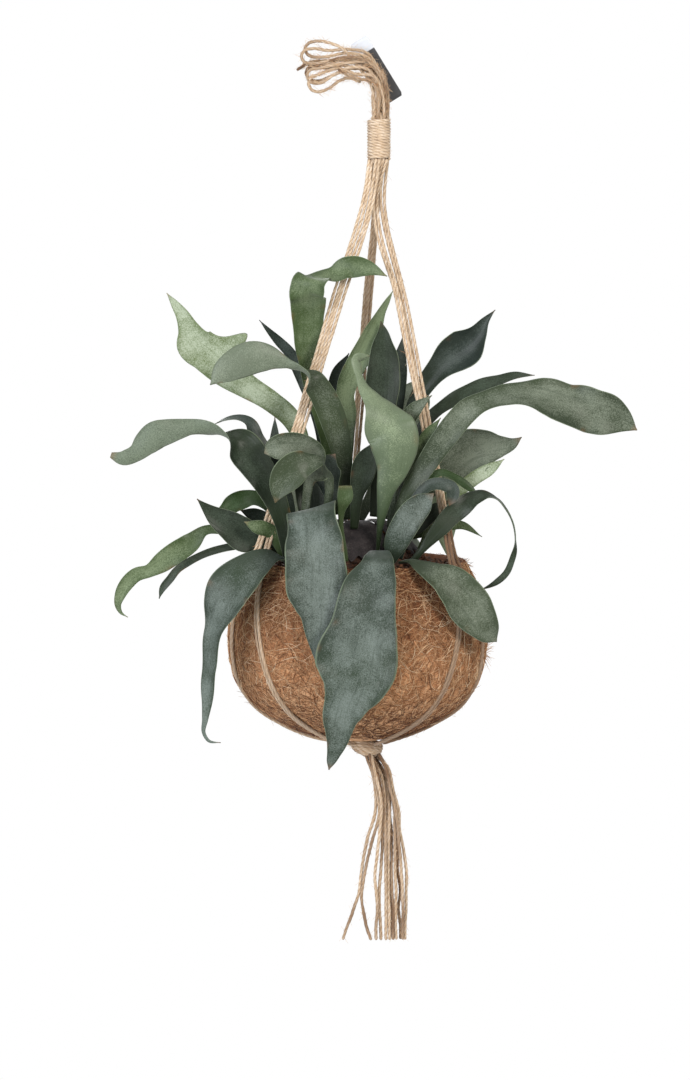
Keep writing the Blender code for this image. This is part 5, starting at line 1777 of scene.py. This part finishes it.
        # The worn loops over the whipping carry `loop_fuzz` times as many hairs as other strands.
        weight = np.array([self.loop_fuzz if line[:, 2].max() > 20 else 1.0 for line in lines])
        chosen = random.choice(len(lines), self.fuzz_hairs, p=weight / weight.sum())
        starts, ways = [], []
        for number, line in enumerate(lines):
            rows = random.integers(2, len(line) - 2, int((chosen == number).sum()))
            starts.append(line[rows])
            ways.append(unit(line[rows + 1] - line[rows - 1]))
        start, way = np.concatenate(starts), np.concatenate(ways)
        count = len(start)
        out = unit(np.cross(way, random.normal(size=(count, 3))))
        step = np.linspace(0, 1, 5)[None, :, None]
        length = random.uniform(2.0, 6.5, count)[:, None, None]
        lean = random.uniform(0.25, 0.9, count)[:, None, None]
        sign = np.where(random.uniform(size=count) < 0.5, -1.0, 1.0)[:, None, None]
        paths = start[:, None] + out[:, None] * (self.strand * 0.4 + length * lean * step**1.3)
        paths = paths + way[:, None] * sign * length * step * 0.8
        self.ball.hairs(
            "twine_fuzz", paths, random.uniform(0.07, 0.14, count),
            np.clip(random.normal(0.8, 0.15, count), 0, 1), self.ball.finish.fibre(), "jute",
        )

    def build(self) -> None:
        """Builds and dresses the whole hanger."""
        self.finish = JuteFinish().material()
        self.strands()
        self.whipping()
        self.knot()
        self.loose()
        self.fuzz()


@dataclass
class PlantLabel:
    """The plain card behind the gathered cords: a thin plate with rounded edges."""

    size: Row = (16.0, 0.7, 56.0)
    centre: Row = (-2.0, 12.5, 55.6)
    turn: float = -31.5
    corner: float = 1.2

    def ring(self, size: float, wave: Array) -> Array:
        """One direction of a rectangle with eased corners, from a wave raised to a low power.

        Args:
            size: its side.
            wave: a cosine or sine round the ring.

        Returns:
            The points' places along the side.
        """
        return np.sign(wave) * np.abs(wave) ** 0.12 * size / 2

    def build(self) -> None:
        """Builds the card as rings up its height, each a rectangle with its corners eased."""
        rows, around = np.linspace(-0.5, 0.5, 24), 32
        wide, deep, tall = self.size
        angle = TAU * (np.arange(around) + 0.5) / around
        ring_x = self.ring(wide, np.cos(angle))
        ring_y = self.ring(deep, np.sin(angle))
        from_end = np.minimum(rows + 0.5, 0.5 - rows) * tall
        short = np.clip(self.corner - from_end, 0, None)
        ease = wide / 2 - self.corner + np.sqrt(np.clip(self.corner**2 - short**2, 0, None))
        local_x = ring_x[None, :] * (ease / (wide / 2))[:, None]
        local_z = (rows * tall)[:, None] + 0 * ring_x
        turn = math.radians(self.turn)
        points = np.stack([
            self.centre[0] + local_x * math.cos(turn) + local_z * math.sin(turn),
            self.centre[1] + ring_y[None, :] + 0 * local_z,
            self.centre[2] - local_x * math.sin(turn) + local_z * math.cos(turn),
        ], axis=-1)
        quads, caps = grid_faces(len(rows), around)
        values = {"up": (local_z * MM).reshape(-1)}
        piece = make_mesh("plant_label_card", points.reshape(-1, 3), [quads, caps], values)
        place(piece, "label_card", CardFinish().material(), ("plant_label",))


# ---------------------------------------------------------------- studio


@dataclass
class Studio:
    """The camera, the lights, the floor and the world."""

    target: Row = (-27.2, -40.0, -319.5)
    distance: float = 4000.0
    down: float = 4.5
    frame_height: float = 864.0
    sensor: float = 36.0

    def camera(self) -> None:
        """Sets the camera level with the fern, looking slightly down from its best side."""
        camera = bpy.data.cameras.new("camera")
        holder = bpy.data.objects.new("camera", camera)
        bpy.context.scene.collection.objects.link(holder)
        lean = math.radians(self.down)
        target = Vector(self.target) * MM
        holder.location = target + Vector((0, -math.cos(lean), math.sin(lean))) * self.distance * MM
        holder.rotation_euler = (math.radians(90) - lean, 0, 0)
        camera.sensor_fit = "VERTICAL"
        camera.sensor_height = self.sensor
        camera.lens = self.sensor * self.distance / self.frame_height
        camera.clip_end = 50.0
        bpy.context.scene.camera = holder

    def light(self, name: str, spot: Row, size: float, power: float, tint: str) -> None:
        """Adds a soft square light that looks at the fern.

        Args:
            name: the light's name.
            spot: where it is, in metres.
            size: its side, in metres.
            power: its power, in watts.
            tint: its colour.
        """
        lamp = bpy.data.lights.new(name, "AREA")
        lamp.shape = "SQUARE"
        lamp.size = size
        lamp.energy = power
        lamp.color = linear(tint)[:3]
        holder = bpy.data.objects.new(name, lamp)
        bpy.context.scene.collection.objects.link(holder)
        holder.location = spot
        aim = Vector(self.target) * MM - holder.location
        holder.rotation_euler = aim.to_track_quat("-Z", "Y").to_euler()

    def floor(self) -> None:
        """Adds the pale round floor, well below the fern."""
        rows = np.array([0.02, 400.0, 1200.0, 1590.0, 1600.0])[:, None]
        angle = (TAU * np.arange(96) / 96)[None, :]
        drop = np.array([0.0, 0.0, 0.0, 0.0, -6.0])[:, None]
        points = np.stack([
            rows * np.cos(angle), rows * np.sin(angle), drop - 1250.0 + 0 * angle,
        ], axis=-1)
        quads, caps = grid_faces(5, 96)
        piece = make_mesh("studio_floor", points.reshape(-1, 3), [quads[:, ::-1], caps[:1, ::-1]])
        recipe = Recipe(bpy.data.materials.new("matt_paper_floor"))
        piece.data.materials.append(recipe.shade({"Base Color": linear("#efeeec"), "Roughness": 0.9}))

    def world(self) -> None:
        """Sets a white surround that the camera sees as pure white and that lights more softly."""
        world = bpy.data.worlds.new("studio_surround")
        bpy.context.scene.world = world
        recipe = Recipe(world)
        seen = recipe.add("LightPath", output="Is Camera Ray")
        power = recipe.add("MapRange", seen, at={3: 0.46, 4: 1.0})
        recipe.feed(recipe.tree.nodes["Background"], {0: (1, 1, 1, 1), 1: power})

    def build(self) -> None:
        """Builds the studio."""
        self.camera()
        self.light("key_light", (1.5, -2.6, 1.0), 0.9, 70.0, "#fffaf2")
        self.light("fill_light", (-1.8, -2.6, 0.2), 1.8, 84.0, "#f6f9ff")
        self.light("top_light", (-0.3, -0.2, 2.2), 1.2, 12.0, "#ffffff")
        self.light("back_light", (-0.8, 2.2, 0.8), 1.6, 30.0, "#ffffff")
        self.floor()
        self.world()
        bpy.context.scene.view_settings.view_transform = "Standard"


def main() -> None:
    """Builds the fern, its basket, its hanger and the studio."""
    logging.basicConfig(level=logging.INFO, format="%(message)s")
    for part in (Compost(), CoirBall(), ShieldFronds(), Foliage(), Hanger(), PlantLabel(), Studio()):
        LOG.info("building %s", type(part).__name__)
        part.build()


if __name__ == "__main__":
    main()
